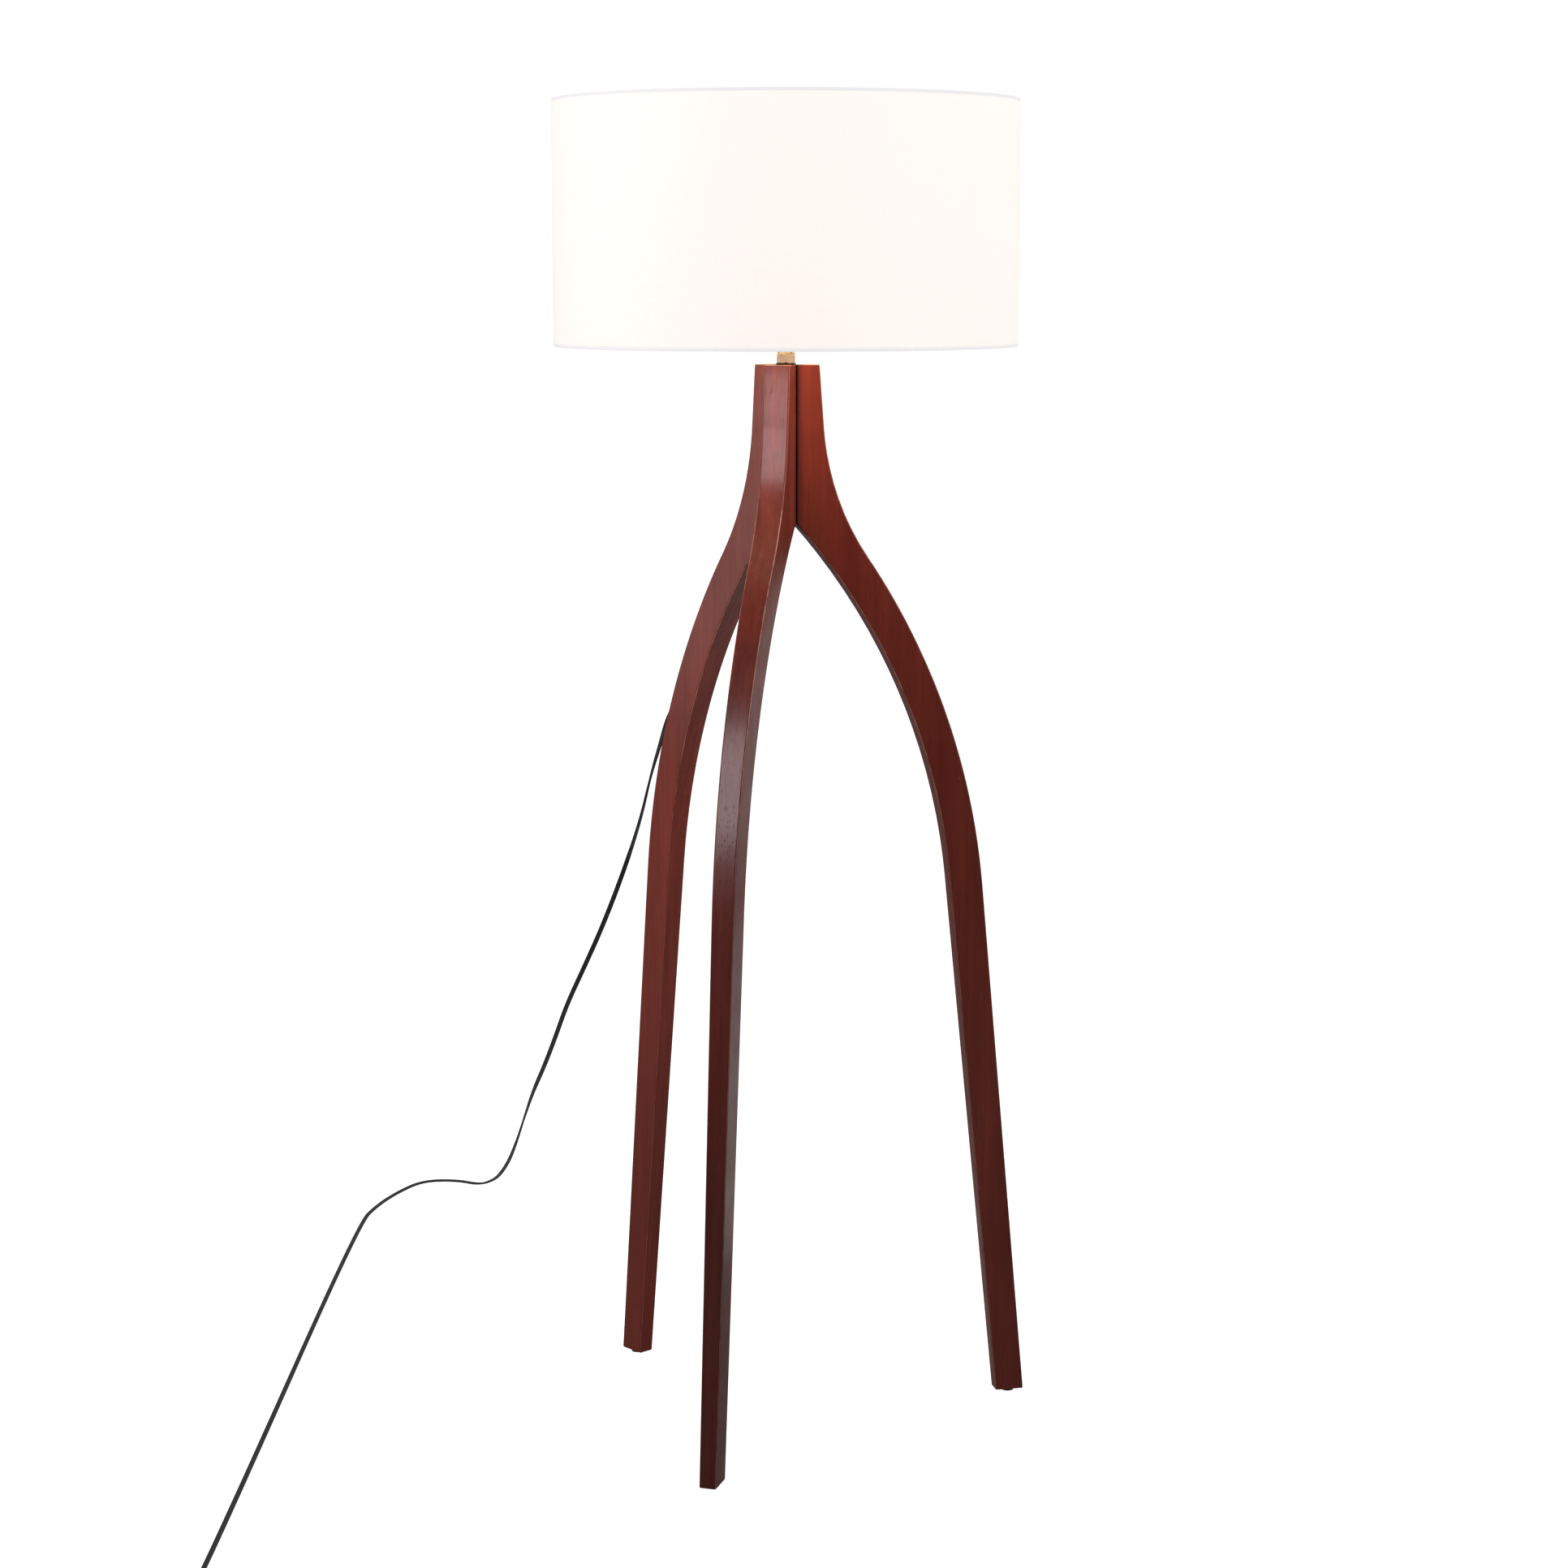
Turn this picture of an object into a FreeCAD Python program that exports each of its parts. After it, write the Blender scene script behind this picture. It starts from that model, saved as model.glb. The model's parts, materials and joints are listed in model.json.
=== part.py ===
import FreeCAD, Part
import math
import os

import Sketcher

# A tripod floor lamp: three curved wooden legs that join into a short
# column, a brass neck, a lamp socket with its harp and bulb, and a drum
# shade.  Millimetres.  +Z is up, and the origin is on the floor under the
# column's axis.  The front leg points along -Y.

V = FreeCAD.Vector
UP = V(0, 0, 1)
FRONT = V(0, -1, 0)
ORIGIN = V(0, 0, 0)

LEGS = {"leg_front": -90.0, "leg_right": 30.0, "leg_left": 150.0}
SEAMS = [-30.0, 90.0, 210.0]
SPIDER_ARMS = [90.0, 210.0, 330.0]
HARP_SIDES = {"right": 1, "left": -1}
BULB_RIBS = 5
FINIAL_FLATS = 7

SIZES = {
    # legs
    "foot_outer_radius": 268.1,
    "foot_inner_radius": 236.6,
    "foot_height": 2.5,
    "outer_knee_radius": 215.2,
    "outer_knee_height": 573.4,
    "outer_bend": 755.0,
    "turn_height": 930.7,
    "hollow_top_height": 1067.8,
    "column_radius": 33.0,
    "column_top": 1132.0,
    "inner_knee_radius": 178.5,
    "inner_knee_height": 581.6,
    "inner_bend": 678.0,
    "board_thickness": 29.3,
    "foot_thickness": 18.0,
    "edge_round": 1.6,
    "mitre_angle": 60.0,
    "seam_half": 0.65,
    "seam_bottom": 13.6,
    "seam_mouth": 16.2,
    "seam_ease": 1.2,
    # column core
    "core_radius": 5.1,
    "pocket_radius": 11.0,
    "pocket_top": 1030.0,
    "dowel_radius": 2.5,
    "dowel_length": 16.0,
    "dowel_offset": 10.9,
    "dowel_low": 1060.0,
    "dowel_high": 1106.0,
    # feet
    "glide_radius": 6.5,
    "glide_recess_radius": 3.2,
    "glide_recess_depth": 1.0,
    "nail_radius": 0.95,
    "nail_head_radius": 2.8,
    "nail_head_height": 0.7,
    "nail_length": 15.0,
    # threaded tube and its hardware
    "tube_radius": 4.8,
    "tube_bore": 3.5,
    "tube_bottom": 1019.0,
    "tube_top": 1160.0,
    "washer_radius": 10.0,
    "washer_thickness": 1.5,
    "nut_corner": 9.8,
    "nut_height": 6.0,
    "star_radius": 8.6,
    "star_thickness": 2.0,
    "star_tooth_length": 2.2,
    "star_tooth_width": 1.9,
    "star_tooth_thickness": 1.4,
    "star_teeth": 16,
    "neck_corner": 11.05,
    "neck_height": 18.0,
    "neck_plain": 6.2,
    "neck_top_radius": 5.6,
    "neck_foot_radius": 9.9,
    "neck_foot_chamfer": 1.0,
    "neck_turn": -72.6,
    # harp and saddle
    "saddle_thickness": 1.2,
    "saddle_width": 13.0,
    "saddle_flat": 19.0,
    "ear_inside": 28.0,
    "ear_top": 1168.0,
    "ear_rise": 3.8,
    "ear_half_width": 2.6,
    "harp_wire": 1.7,
    "harp_foot": 31.0,
    "harp_foot_height": 1156.4,
    "harp_straight_top": 1188.0,
    "harp_half_width": 56.0,
    "harp_waist_low": 1228.0,
    "harp_waist_high": 1300.0,
    "harp_shoulder": 40.0,
    "harp_top": 1357.0,
    "harp_bend": 22.0,
    "sleeve_radius": 4.6,
    "sleeve_bore": 4.1,
    "sleeve_offset": 30.0,
    "sleeve_length": 12.0,
    "stud_flange_radius": 6.0,
    "stud_flange_height": 3.7,
    "stud_radius": 3.1,
    "stud_length": 13.0,
    # socket
    "cap_height": 18.0,
    "cap_radius": 17.0,
    "cap_foot_radius": 10.5,
    "cap_shoulder": 10.0,
    "cap_wall": 0.8,
    "shell_radius": 16.9,
    "shell_wall": 0.6,
    "shell_height": 42.0,
    "liner_radius": 16.0,
    "liner_wall": 1.0,
    "liner_height": 38.0,
    "interior_radius": 14.6,
    "interior_height": 14.0,
    "screw_shell_radius": 13.9,
    "screw_shell_wall": 0.45,
    "screw_shell_height": 25.0,
    "contact_width": 6.0,
    "contact_thickness": 0.5,
    "contact_rise": 2.8,
    "contact_button_radius": 2.0,
    "terminal_radius": 2.6,
    "terminal_shank": 1.3,
    "terminal_clearance": 0.8,
    "terminal_length": 4.5,
    "terminal_recess": 13.2,
    "switch_height": 1181.0,
    "switch_radius": 1.6,
    "switch_clearance": 0.06,
    "switch_start": 6.0,
    "switch_length": 24.0,
    "knob_start": 20.0,
    "knob_radius": 4.2,
    "knob_length": 9.0,
    "paddle_width": 17.0,
    "paddle_thickness": 3.6,
    "paddle_length": 15.0,
    "paddle_round": 1.4,
    # bulb
    "bulb_contact_bottom": 1190.4,
    "bulb_contact_radius": 4.5,
    "bulb_contact_height": 1.2,
    "bulb_insulator_radius": 9.4,
    "bulb_insulator_height": 4.4,
    "bulb_base_radius": 13.0,
    "bulb_base_wall": 0.5,
    "bulb_base_height": 19.0,
    "bulb_glass_seat": 13.3,
    "thread_depth": 0.35,
    "thread_start": 2.3,
    "thread_pitch": 2.5,
    "thread_rise": 1.2,
    "bulb_neck_radius": 12.3,
    "bulb_globe_radius": 30.0,
    "bulb_globe_height": 1268.0,
    "bulb_joint_angle": 50.0,
    "bulb_wall": 0.9,
    # shade
    "shade_radius": 241.5,
    "shade_bottom": 1151.0,
    "shade_top": 1403.0,
    "fabric_thickness": 0.8,
    "liner_thickness": 1.2,
    "liner_inset": 1.0,
    "ring_wire": 1.7,
    "ring_inset": 2.9,
    "spider_wire": 1.6,
    "spider_hub_radius": 11.0,
    "spider_hub_thickness": 1.8,
    "spider_hole": 3.4,
    "spider_flat": 206.0,
    "spider_bend": 14.0,
    "seat_gap": 0.1,
    "finial_gap": 0.3,
    "finial_hole": 3.15,
    "finial_hole_depth": 12.0,
    "finial_base_radius": 8.0,
    "finial_base_height": 1.6,
    "finial_cove_radius": 5.8,
    "finial_cove_height": 2.8,
    "finial_waist_radius": 4.6,
    "finial_waist_low": 5.5,
    "finial_waist_height": 7.0,
    "finial_ball_radius": 8.0,
    "finial_ball_start": -60.0,
    "finial_ball_end": 90.0,
    "finial_height": 27.0,
    # wiring
    "lead_radius": 2.4,
    "lead_top": 1171.6,
    "lead_bend": 40.0,
    "channel_radius": 4.0,
    "channel_top": 1000.0,
    "exit_distance": 172.9,
    "exit_height": 762.0,
    "exit_slope": 40.0,
    "exit_bore": 4.6,
    "exit_depth": 22.0,
    "bushing_half": 11.0,
    "bushing_tip_radius": 3.6,
    "cord_radius": 2.75,
    "coil_radius": 33.0,
    "coil_half_width": 3.2,
    "coil_height": 10.4,
    "coil_turns": 2.25,
    "tail_length": 30.0,
    "plug_axis_height": 8.0,
    "plug_length": 26.0,
    "plug_width": 22.0,
    "plug_round": 3.0,
    "relief_length": 22.0,
    "relief_radius": 4.6,
    "relief_tip_radius": 3.3,
    "blade_length": 17.0,
    "blade_thickness": 1.5,
    "blade_width": 6.3,
    "blade_spacing": 12.7,
}

# The free cord's route, from the bushing in the left leg down to the floor
# behind the lamp, round to the front and on to the coil.
CORD_ROUTE = [
    (-157, 91, 755),
    (-163, 94, 749),
    (-170, 98, 737),
    (-179, 103, 715),
    (-194, 112, 674),
    (-209, 121, 622),
    (-232, 127, 558),
    (-263, 146, 492),
    (-295, 170, 434),
    (-331, 209, 382),
    (-366, 257, 330),
    (-402, 312, 280),
    (-439, 371, 229),
    (-475, 433, 177),
    (-512, 495, 128),
    (-548, 556, 83),
    (-584, 614, 43),
    (-621, 670, 17),
    (-657, 708, 3),
    (-696, 719, 3),
    (-738, 702, 3),
    (-748, 646, 3),
    (-745, 577, 3),
    (-735, 493, 3),
    (-388, -614, 3),
    (-376, -673, 3),
    (-353, -723, 3),
]

doc = FreeCAD.newDocument("tripod_floor_lamp")
sheet = doc.addObject("Spreadsheet::Sheet", "dims")
for row, (alias, value) in enumerate(SIZES.items(), start=1):
    sheet.set(f"A{row}", alias)
    sheet.set(f"B{row}", str(value))
    sheet.setAlias(f"B{row}", alias)
doc.recompute()

nodes = []


def size(alias):
    """A driving dimension, read back from the sheet."""
    return float(getattr(sheet, alias))


def node(item, label):
    """Name a finished sub-part; its label names its file."""
    item.Label = label
    nodes.append(item)
    return item


def polar(distance, azimuth, height=0.0):
    """A point at a distance from the column's axis, at an azimuth."""
    turn = math.radians(azimuth)
    return V(distance * math.cos(turn), distance * math.sin(turn), height)


def about_z(azimuth):
    return FreeCAD.Placement(ORIGIN, FreeCAD.Rotation(UP, azimuth))


# ---------------------------------------------------------------- helpers


def cylinder(name, radius, height, base=ORIGIN, direction=UP):
    """A cylinder whose radius and height are bound to the sheet."""
    item = doc.addObject("Part::Cylinder", name)
    item.setExpression("Radius", radius)
    item.setExpression("Height", height)
    item.Placement = FreeCAD.Placement(base, FreeCAD.Rotation(UP, direction))
    return item


def cone(name, low, high, height, base=ORIGIN, direction=UP):
    item = doc.addObject("Part::Cone", name)
    item.setExpression("Radius1", low)
    item.setExpression("Radius2", high)
    item.setExpression("Height", height)
    item.Placement = FreeCAD.Placement(base, FreeCAD.Rotation(UP, direction))
    return item


def prism(name, corner, height, base=ORIGIN, turn=0.0):
    """A six-sided prism standing on its base point."""
    item = doc.addObject("Part::Prism", name)
    item.Polygon = 6
    item.setExpression("Circumradius", corner)
    item.setExpression("Height", height)
    item.Placement = FreeCAD.Placement(base, FreeCAD.Rotation(UP, turn))
    return item


def box(name, length, width, height, placement):
    item = doc.addObject("Part::Box", name)
    item.setExpression("Length", length)
    item.setExpression("Width", width)
    item.setExpression("Height", height)
    item.Placement = placement
    return item


def cut(name, base, *tools):
    """The base less each tool in turn."""
    for count, tool in enumerate(tools, start=1):
        step = doc.addObject("Part::Cut", f"{name}_cut_{count}")
        step.Base = base
        step.Tool = tool
        base = step
    return base


def fuse(name, *items):
    whole = doc.addObject("Part::MultiFuse", name)
    whole.Shapes = list(items)
    return whole


def group(name, items):
    """Identical separate solids that share one node."""
    whole = doc.addObject("Part::Compound", name)
    whole.Links = list(items)
    return whole


def new_body(name):
    return doc.addObject("PartDesign::Body", name)


def new_sketch(body, name, plane, offset=0.0):
    """A sketch on one of the body's own origin planes."""
    sketch = body.newObject("Sketcher::SketchObject", name)
    planes = body.Origin.OriginFeatures
    support = next(item for item in planes if item.Role == plane)
    sketch.AttachmentSupport = [(support, "")]
    sketch.MapMode = "FlatFace"
    sketch.AttachmentOffset = FreeCAD.Placement(V(0, 0, offset), FreeCAD.Rotation())
    return sketch


def bind(sketch, kind, refs, value, expression):
    """A dimension of the sketch that follows the sheet."""
    index = sketch.addConstraint(Sketcher.Constraint(kind, *refs, value))
    sketch.renameConstraint(index, f"size_{index}")
    sketch.setExpression(f"Constraints.size_{index}", expression)


def bind_point(sketch, geo, pos, point, expressions):
    """Hold a point at coordinates given by expressions; None is on an axis."""
    kinds = ("DistanceX", "DistanceY")
    axes = (-2, -1)
    for kind, axis, value, expression in zip(kinds, axes, point, expressions):
        if expression is None:
            on_axis = Sketcher.Constraint("PointOnObject", geo, pos, axis)
            sketch.addConstraint(on_axis)
        else:
            bind(sketch, kind, (-1, 1, geo, pos), value, expression)


def polygon(sketch, corners):
    """A closed outline of straight sides, each corner bound to the sheet.

    A corner is a pair of expressions, or None where it lies on an axis.
    """
    points = [
        V(*[0.0 if e is None else sketch_value(sketch, e) for e in corner], 0)
        for corner in corners
    ]
    first = sketch.GeometryCount
    count = len(points)
    for k in range(count):
        sketch.addGeometry(Part.LineSegment(points[k], points[(k + 1) % count]))
    for k in range(count):
        ends = (first + k, 2, first + (k + 1) % count, 1)
        sketch.addConstraint(Sketcher.Constraint("Coincident", *ends))
    for k, corner in enumerate(corners):
        bind_point(sketch, first + k, 1, points[k], corner)


def sketch_value(sketch, expression):
    """What an expression of the sheet's cells comes to now."""
    value = sketch.evalExpression(expression)
    return float(getattr(value, "Value", value))


def revolved(name, corners):
    """A body turned about Z from an outline of (radius, height) corners."""
    body = new_body(name)
    sketch = new_sketch(body, f"{name}_outline", "XZ_Plane")
    polygon(sketch, corners)
    turn = body.newObject("PartDesign::Revolution", f"{name}_turn")
    turn.Profile = sketch
    turn.ReferenceAxis = (sketch, ["V_Axis"])
    turn.Angle = 360
    return body


def circle_sketch(body, name, expression, offset=0.0, plane="XY_Plane"):
    sketch = new_sketch(body, name, plane, offset)
    radius = sketch_value(sketch, expression)
    sketch.addGeometry(Part.Circle(ORIGIN, UP, radius))
    sketch.addConstraint(Sketcher.Constraint("Coincident", 0, 3, -1, 1))
    bind(sketch, "Radius", (0,), radius, expression)
    return sketch


def pocket(body, name, sketch, length=None, both_ways=True, reverse=False):
    """Cut a sketch out of its body, through everything or to a depth."""
    item = body.newObject("PartDesign::Pocket", name)
    item.Profile = sketch
    if length is None:
        item.Type = "ThroughAll"
    else:
        item.setExpression("Length", length)
    item.SideType = "Symmetric" if both_ways else "One side"
    item.Reversed = reverse
    return item


def bent_path(points, bends):
    """Straight runs joined by tangent arcs, one bend radius per corner."""
    edges = []
    start = points[0]
    for k, bend in enumerate(bends, start=1):
        before = (points[k] - points[k - 1]).normalize()
        after = (points[k + 1] - points[k]).normalize()
        half = before.getAngle(after) / 2
        reach = bend * math.tan(half)
        leave = points[k] - before * reach
        join = points[k] + after * reach
        inward = (after - before).normalize()
        middle = points[k] + inward * (bend / math.cos(half) - bend)
        edges.append(Part.LineSegment(start, leave).toShape())
        edges.append(Part.Arc(leave, middle, join).toShape())
        start = join
    edges.append(Part.LineSegment(start, points[-1]).toShape())
    return Part.Wire(edges)


def tube_shape(points, radius, bends):
    """A round rod along a bent path."""
    path = bent_path(points, bends)
    start = points[0]
    heading = (points[1] - start).normalize()
    section = Part.Wire([Part.Circle(start, heading, radius).toShape()])
    rod = path.makePipeShell([section], True, True)
    expected = math.pi * radius * radius * path.Length
    return rod, path.Length, rod.Volume / expected


def rod_feature(name, shape):
    item = doc.addObject("Part::Feature", name)
    item.Shape = shape
    return item


# ------------------------------------------------------------------- legs


def add_chain(sketch, chain):
    """Lines and arcs end to end: (start, end, centre or None, smooth).

    A smooth piece leaves the one before it tangentially.  Returns for each
    piece the numbers of its first and last point.
    """
    ends = []
    for start, end, centre, _smooth in chain:
        if centre is None:
            sketch.addGeometry(Part.LineSegment(V(*start, 0), V(*end, 0)))
            ends.append((1, 2))
            continue
        spokes = [(p[0] - centre[0], p[1] - centre[1]) for p in (start, end)]
        angles = [math.atan2(y, x) for x, y in spokes]
        turn = spokes[0][0] * spokes[1][1] - spokes[0][1] * spokes[1][0]
        circle = Part.Circle(V(*centre, 0), UP, math.hypot(*spokes[0]))
        if turn > 0:
            sketch.addGeometry(Part.ArcOfCircle(circle, *angles))
            ends.append((1, 2))
        else:
            sketch.addGeometry(Part.ArcOfCircle(circle, *reversed(angles)))
            ends.append((2, 1))
    for k, piece in enumerate(chain):
        last = k - 1 if k else len(chain) - 1
        kind = "Tangent" if piece[3] else "Coincident"
        refs = (last, ends[last][1], k, ends[k][0])
        sketch.addConstraint(Sketcher.Constraint(kind, *refs))
    return ends


def leg_outline(sketch):
    """The side view of one board: a straight lower leg, a convex knee, a
    hollow below the column, and the column's straight flare."""
    foot = size("foot_height")
    outer_foot = (size("foot_outer_radius"), foot)
    inner_foot = (size("foot_inner_radius"), foot)
    knee = (size("outer_knee_radius"), size("outer_knee_height"))
    top = (size("column_radius"), size("column_top"))
    lean = math.atan2(outer_foot[0] - knee[0], knee[1] - outer_foot[1])

    bend = size("outer_bend")
    centre = (knee[0] - bend * math.cos(lean), knee[1] - bend * math.sin(lean))
    steep = math.asin((size("turn_height") - centre[1]) / bend)
    turn = (centre[0] + bend * math.cos(steep), size("turn_height"))

    # The hollow's radius is where its arc, from the turn to hollow_top_height,
    # leaves tangentially for the column's top corner.
    hollow_top = size("hollow_top_height")
    low, high = math.radians(0.1), steep
    for _ in range(60):
        flare = (low + high) / 2
        hollow = (hollow_top - turn[1]) / (math.sin(steep) - math.sin(flare))
        x = turn[0] - hollow * (math.cos(flare) - math.cos(steep))
        reach = x - (top[1] - hollow_top) * math.tan(flare)
        low, high = (flare, high) if reach > top[0] else (low, flare)
    hollow_centre = (
        turn[0] + hollow * math.cos(steep),
        turn[1] + hollow * math.sin(steep),
    )
    hollow_end = (x, hollow_top)

    inner_knee = (size("inner_knee_radius"), size("inner_knee_height"))
    inner_lean = math.atan2(
        inner_foot[0] - inner_knee[0], inner_knee[1] - inner_foot[1]
    )
    inner = size("inner_bend")
    inner_centre = (
        inner_knee[0] - inner * math.cos(inner_lean),
        inner_knee[1] - inner * math.sin(inner_lean),
    )
    crotch = (0.0, inner_centre[1] + math.sqrt(inner**2 - inner_centre[0] ** 2))

    chain = [
        (inner_foot, outer_foot, None, False),
        (outer_foot, knee, None, False),
        (knee, turn, centre, True),
        (turn, hollow_end, hollow_centre, True),
        (hollow_end, top, None, True),
        (top, (0.0, top[1]), None, False),
        ((0.0, top[1]), crotch, None, False),
        (crotch, inner_knee, inner_centre, False),
        (inner_knee, inner_foot, None, True),
    ]
    ends = add_chain(sketch, chain)
    held = [
        (0, 1, inner_foot, ("dims.foot_inner_radius", "dims.foot_height")),
        (1, 1, outer_foot, ("dims.foot_outer_radius", "dims.foot_height")),
        (1, 2, knee, ("dims.outer_knee_radius", "dims.outer_knee_height")),
        (4, 2, top, ("dims.column_radius", "dims.column_top")),
        (6, 1, (0, top[1]), (None, "dims.column_top")),
        (8, 1, inner_knee, ("dims.inner_knee_radius", "dims.inner_knee_height")),
    ]
    for geo, pos, point, expressions in held:
        bind_point(sketch, geo, pos, point, expressions)
    bind(sketch, "Radius", (2,), bend, "dims.outer_bend")
    bind(sketch, "Radius", (7,), inner, "dims.inner_bend")
    up = (-1, 1, 3, ends[3][0])
    bind(sketch, "DistanceY", up, turn[1], "dims.turn_height")
    up = (-1, 1, 4, 1)
    bind(sketch, "DistanceY", up, hollow_top, "dims.hollow_top_height")
    sketch.addConstraint(Sketcher.Constraint("PointOnObject", 6, 2, -2))


def side_taper(body):
    """Thin the board from its full thickness at the top to the foot's."""
    sketch = new_sketch(body, f"{body.Name}_taper", "YZ_Plane")
    for sign in ("", "-"):
        polygon(
            sketch,
            [
                (f"{sign}dims.foot_thickness / 2", None),
                (f"{sign}dims.board_thickness / 2", "dims.column_top"),
                (f"{sign}dims.board_thickness", "dims.column_top"),
                (f"{sign}dims.board_thickness", None),
            ],
        )
    pocket(body, f"{body.Name}_thin", sketch)


def beside_mitre(along, inward, sign):
    """A corner at a distance along the mitre plane and inward from it."""
    turn = "(dims.mitre_angle * 1deg)"
    x = f"{along} * cos{turn} + {inward} * sin{turn}"
    y = f"{along} * sin{turn} - {inward} * cos{turn}"
    return x, f"{sign}({y})"


def mitre(body):
    """The two mitre planes, each 60 degrees from the board's middle, with the
    outer part of each seam left open as a slot with eased edges."""
    sketch = new_sketch(body, f"{body.Name}_mitre", "XY_Plane")
    wide = "dims.board_thickness"
    for sign in ("", "-"):
        polygon(
            sketch,
            [
                (None, None),
                beside_mitre("dims.seam_bottom", "0", sign),
                beside_mitre("dims.seam_bottom", "dims.seam_half", sign),
                beside_mitre("dims.seam_mouth", "dims.seam_half", sign),
                beside_mitre(
                    "(dims.seam_mouth + 2 * dims.seam_ease)",
                    "(dims.seam_half + 2 * dims.seam_ease)",
                    sign,
                ),
                (f"{wide} / tan(dims.mitre_angle * 1deg)", f"{sign}{wide}"),
                (f"-{wide}", f"{sign}{wide}"),
                (f"-{wide}", None),
            ],
        )
    pocket(body, f"{body.Name}_mitred", sketch)


def eased_edges(shape):
    """The edges that run up the leg along both of its faces, and the foot's."""
    found = []
    for number, edge in enumerate(shape.Edges, start=1):
        bounds = edge.BoundBox
        off_axis = bounds.XMax > size("core_radius")
        one_side = bounds.YMin * bounds.YMax > 0
        level = bounds.ZLength < size("edge_round")
        at_foot = level and bounds.ZMax < size("foot_height") + size("edge_round")
        if at_foot or (off_axis and one_side and not level):
            found.append(f"Edge{number}")
    return found


def board(name):
    """One leg's board, lying in the XZ plane with its foot towards +X."""
    body = new_body(name)
    outline = new_sketch(body, f"{name}_outline", "XZ_Plane")
    leg_outline(outline)
    pad = body.newObject("PartDesign::Pad", f"{name}_pad")
    pad.Profile = outline
    pad.setExpression("Length", "dims.board_thickness")
    pad.SideType = "Symmetric"
    doc.recompute()
    side_taper(body)
    doc.recompute()
    thinned = body.Tip
    rounding = body.newObject("PartDesign::Fillet", f"{name}_edges")
    rounding.Base = (thinned, eased_edges(thinned.Shape))
    rounding.setExpression("Radius", "dims.edge_round")
    doc.recompute()
    mitre(body)
    core = circle_sketch(body, f"{name}_core", "dims.core_radius")
    pocket(body, f"{name}_bore", core)
    seat_height = size("pocket_top")
    seat = circle_sketch(body, f"{name}_seat", "dims.pocket_radius", seat_height)
    pocket(body, f"{name}_counterbore", seat, "dims.pocket_top", both_ways=False)
    return body


def dowel_places():
    """The middle and direction of every dowel across the glued seams."""
    places = []
    for seam in SEAMS:
        for height in (size("dowel_low"), size("dowel_high")):
            middle = polar(size("dowel_offset"), seam, height)
            places.append((middle, polar(1, seam + 90)))
    return places


def dowel_pins(name):
    """Pins or the holes for them: one cylinder at each place."""
    pins = []
    for count, (middle, across) in enumerate(dowel_places(), start=1):
        base = middle - across * (size("dowel_length") / 2)
        pin = cylinder(
            f"{name}_{count}", "dims.dowel_radius", "dims.dowel_length", base, across
        )
        pins.append(pin)
    return pins


def foot_centre(azimuth, height=0.0):
    middle = (size("foot_outer_radius") + size("foot_inner_radius")) / 2
    return polar(middle, azimuth, height)


def exit_direction():
    """The way the cord leaves the left leg: outwards and down."""
    slope = math.radians(size("exit_slope"))
    along = polar(math.cos(slope), LEGS["leg_left"])
    return along - UP * math.sin(slope)


def exit_point(distance=0.0):
    """A point on the exit bore's axis, at a distance past the leg's face."""
    face = polar(size("exit_distance"), LEGS["leg_left"], size("exit_height"))
    return face + exit_direction() * distance


def wire_channel():
    """The drilling from the column's core down the left leg, and the
    short bore that meets it from the leg's outer face."""
    start = V(0, 0, size("channel_top"))
    end = exit_point(-size("exit_depth"))
    along = end - start
    drilling = cylinder(
        "channel_drilling", "dims.channel_radius", f"{along.Length:.3f}", start, along
    )
    bore = cylinder(
        "exit_bore", "dims.exit_bore", "2 * dims.exit_depth", end, exit_direction()
    )
    return drilling, bore


def make_legs():
    channel = wire_channel()
    for label, azimuth in LEGS.items():
        blank = board(f"{label}_board")
        blank.Placement = about_z(azimuth)
        holes = dowel_pins(f"{label}_dowel_hole")
        base = foot_centre(azimuth)
        nail = cylinder(f"{label}_nail_hole", "dims.nail_radius", "dims.nail_length")
        nail.Placement.Base = base + UP * size("glide_recess_depth") / 2
        tools = holes + [nail]
        if label == "leg_left":
            tools += channel
        node(cut(label, blank, *tools), label)
    node(group("dowels", dowel_pins("dowel")), "column_dowels")


def make_feet():
    glides, nails = [], []
    for label, azimuth in LEGS.items():
        foot = foot_centre(azimuth)
        glide = cylinder(f"{label}_glide", "dims.glide_radius", "dims.foot_height", foot)
        recess = cylinder(
            f"{label}_recess", "dims.glide_recess_radius", "dims.glide_recess_depth", foot
        )
        hole = cylinder(f"{label}_hole", "dims.nail_radius", "dims.foot_height", foot)
        glides.append(cut(f"{label}_glide", glide, recess, hole))
        low = foot + UP * (size("glide_recess_depth") - size("nail_head_height"))
        head = cylinder(
            f"{label}_nail_head", "dims.nail_head_radius", "dims.nail_head_height", low
        )
        middle = low + UP * size("nail_head_height") / 2
        length = "dims.nail_length - dims.nail_head_height"
        shank = cylinder(f"{label}_shank", "dims.nail_radius", length, middle)
        nails.append(fuse(f"{label}_nail", head, shank))
    node(group("glides", glides), "foot_glides")
    node(group("nails", nails), "glide_nails")


# --------------------------------------------- column hardware and the neck


def ring_at(name, outer, inner, height, base):
    """A flat ring or a sleeve standing on its base point."""
    solid = cylinder(f"{name}_outside", outer, height, base)
    hole = cylinder(f"{name}_hole", inner, height, base)
    return cut(name, solid, hole)


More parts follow.
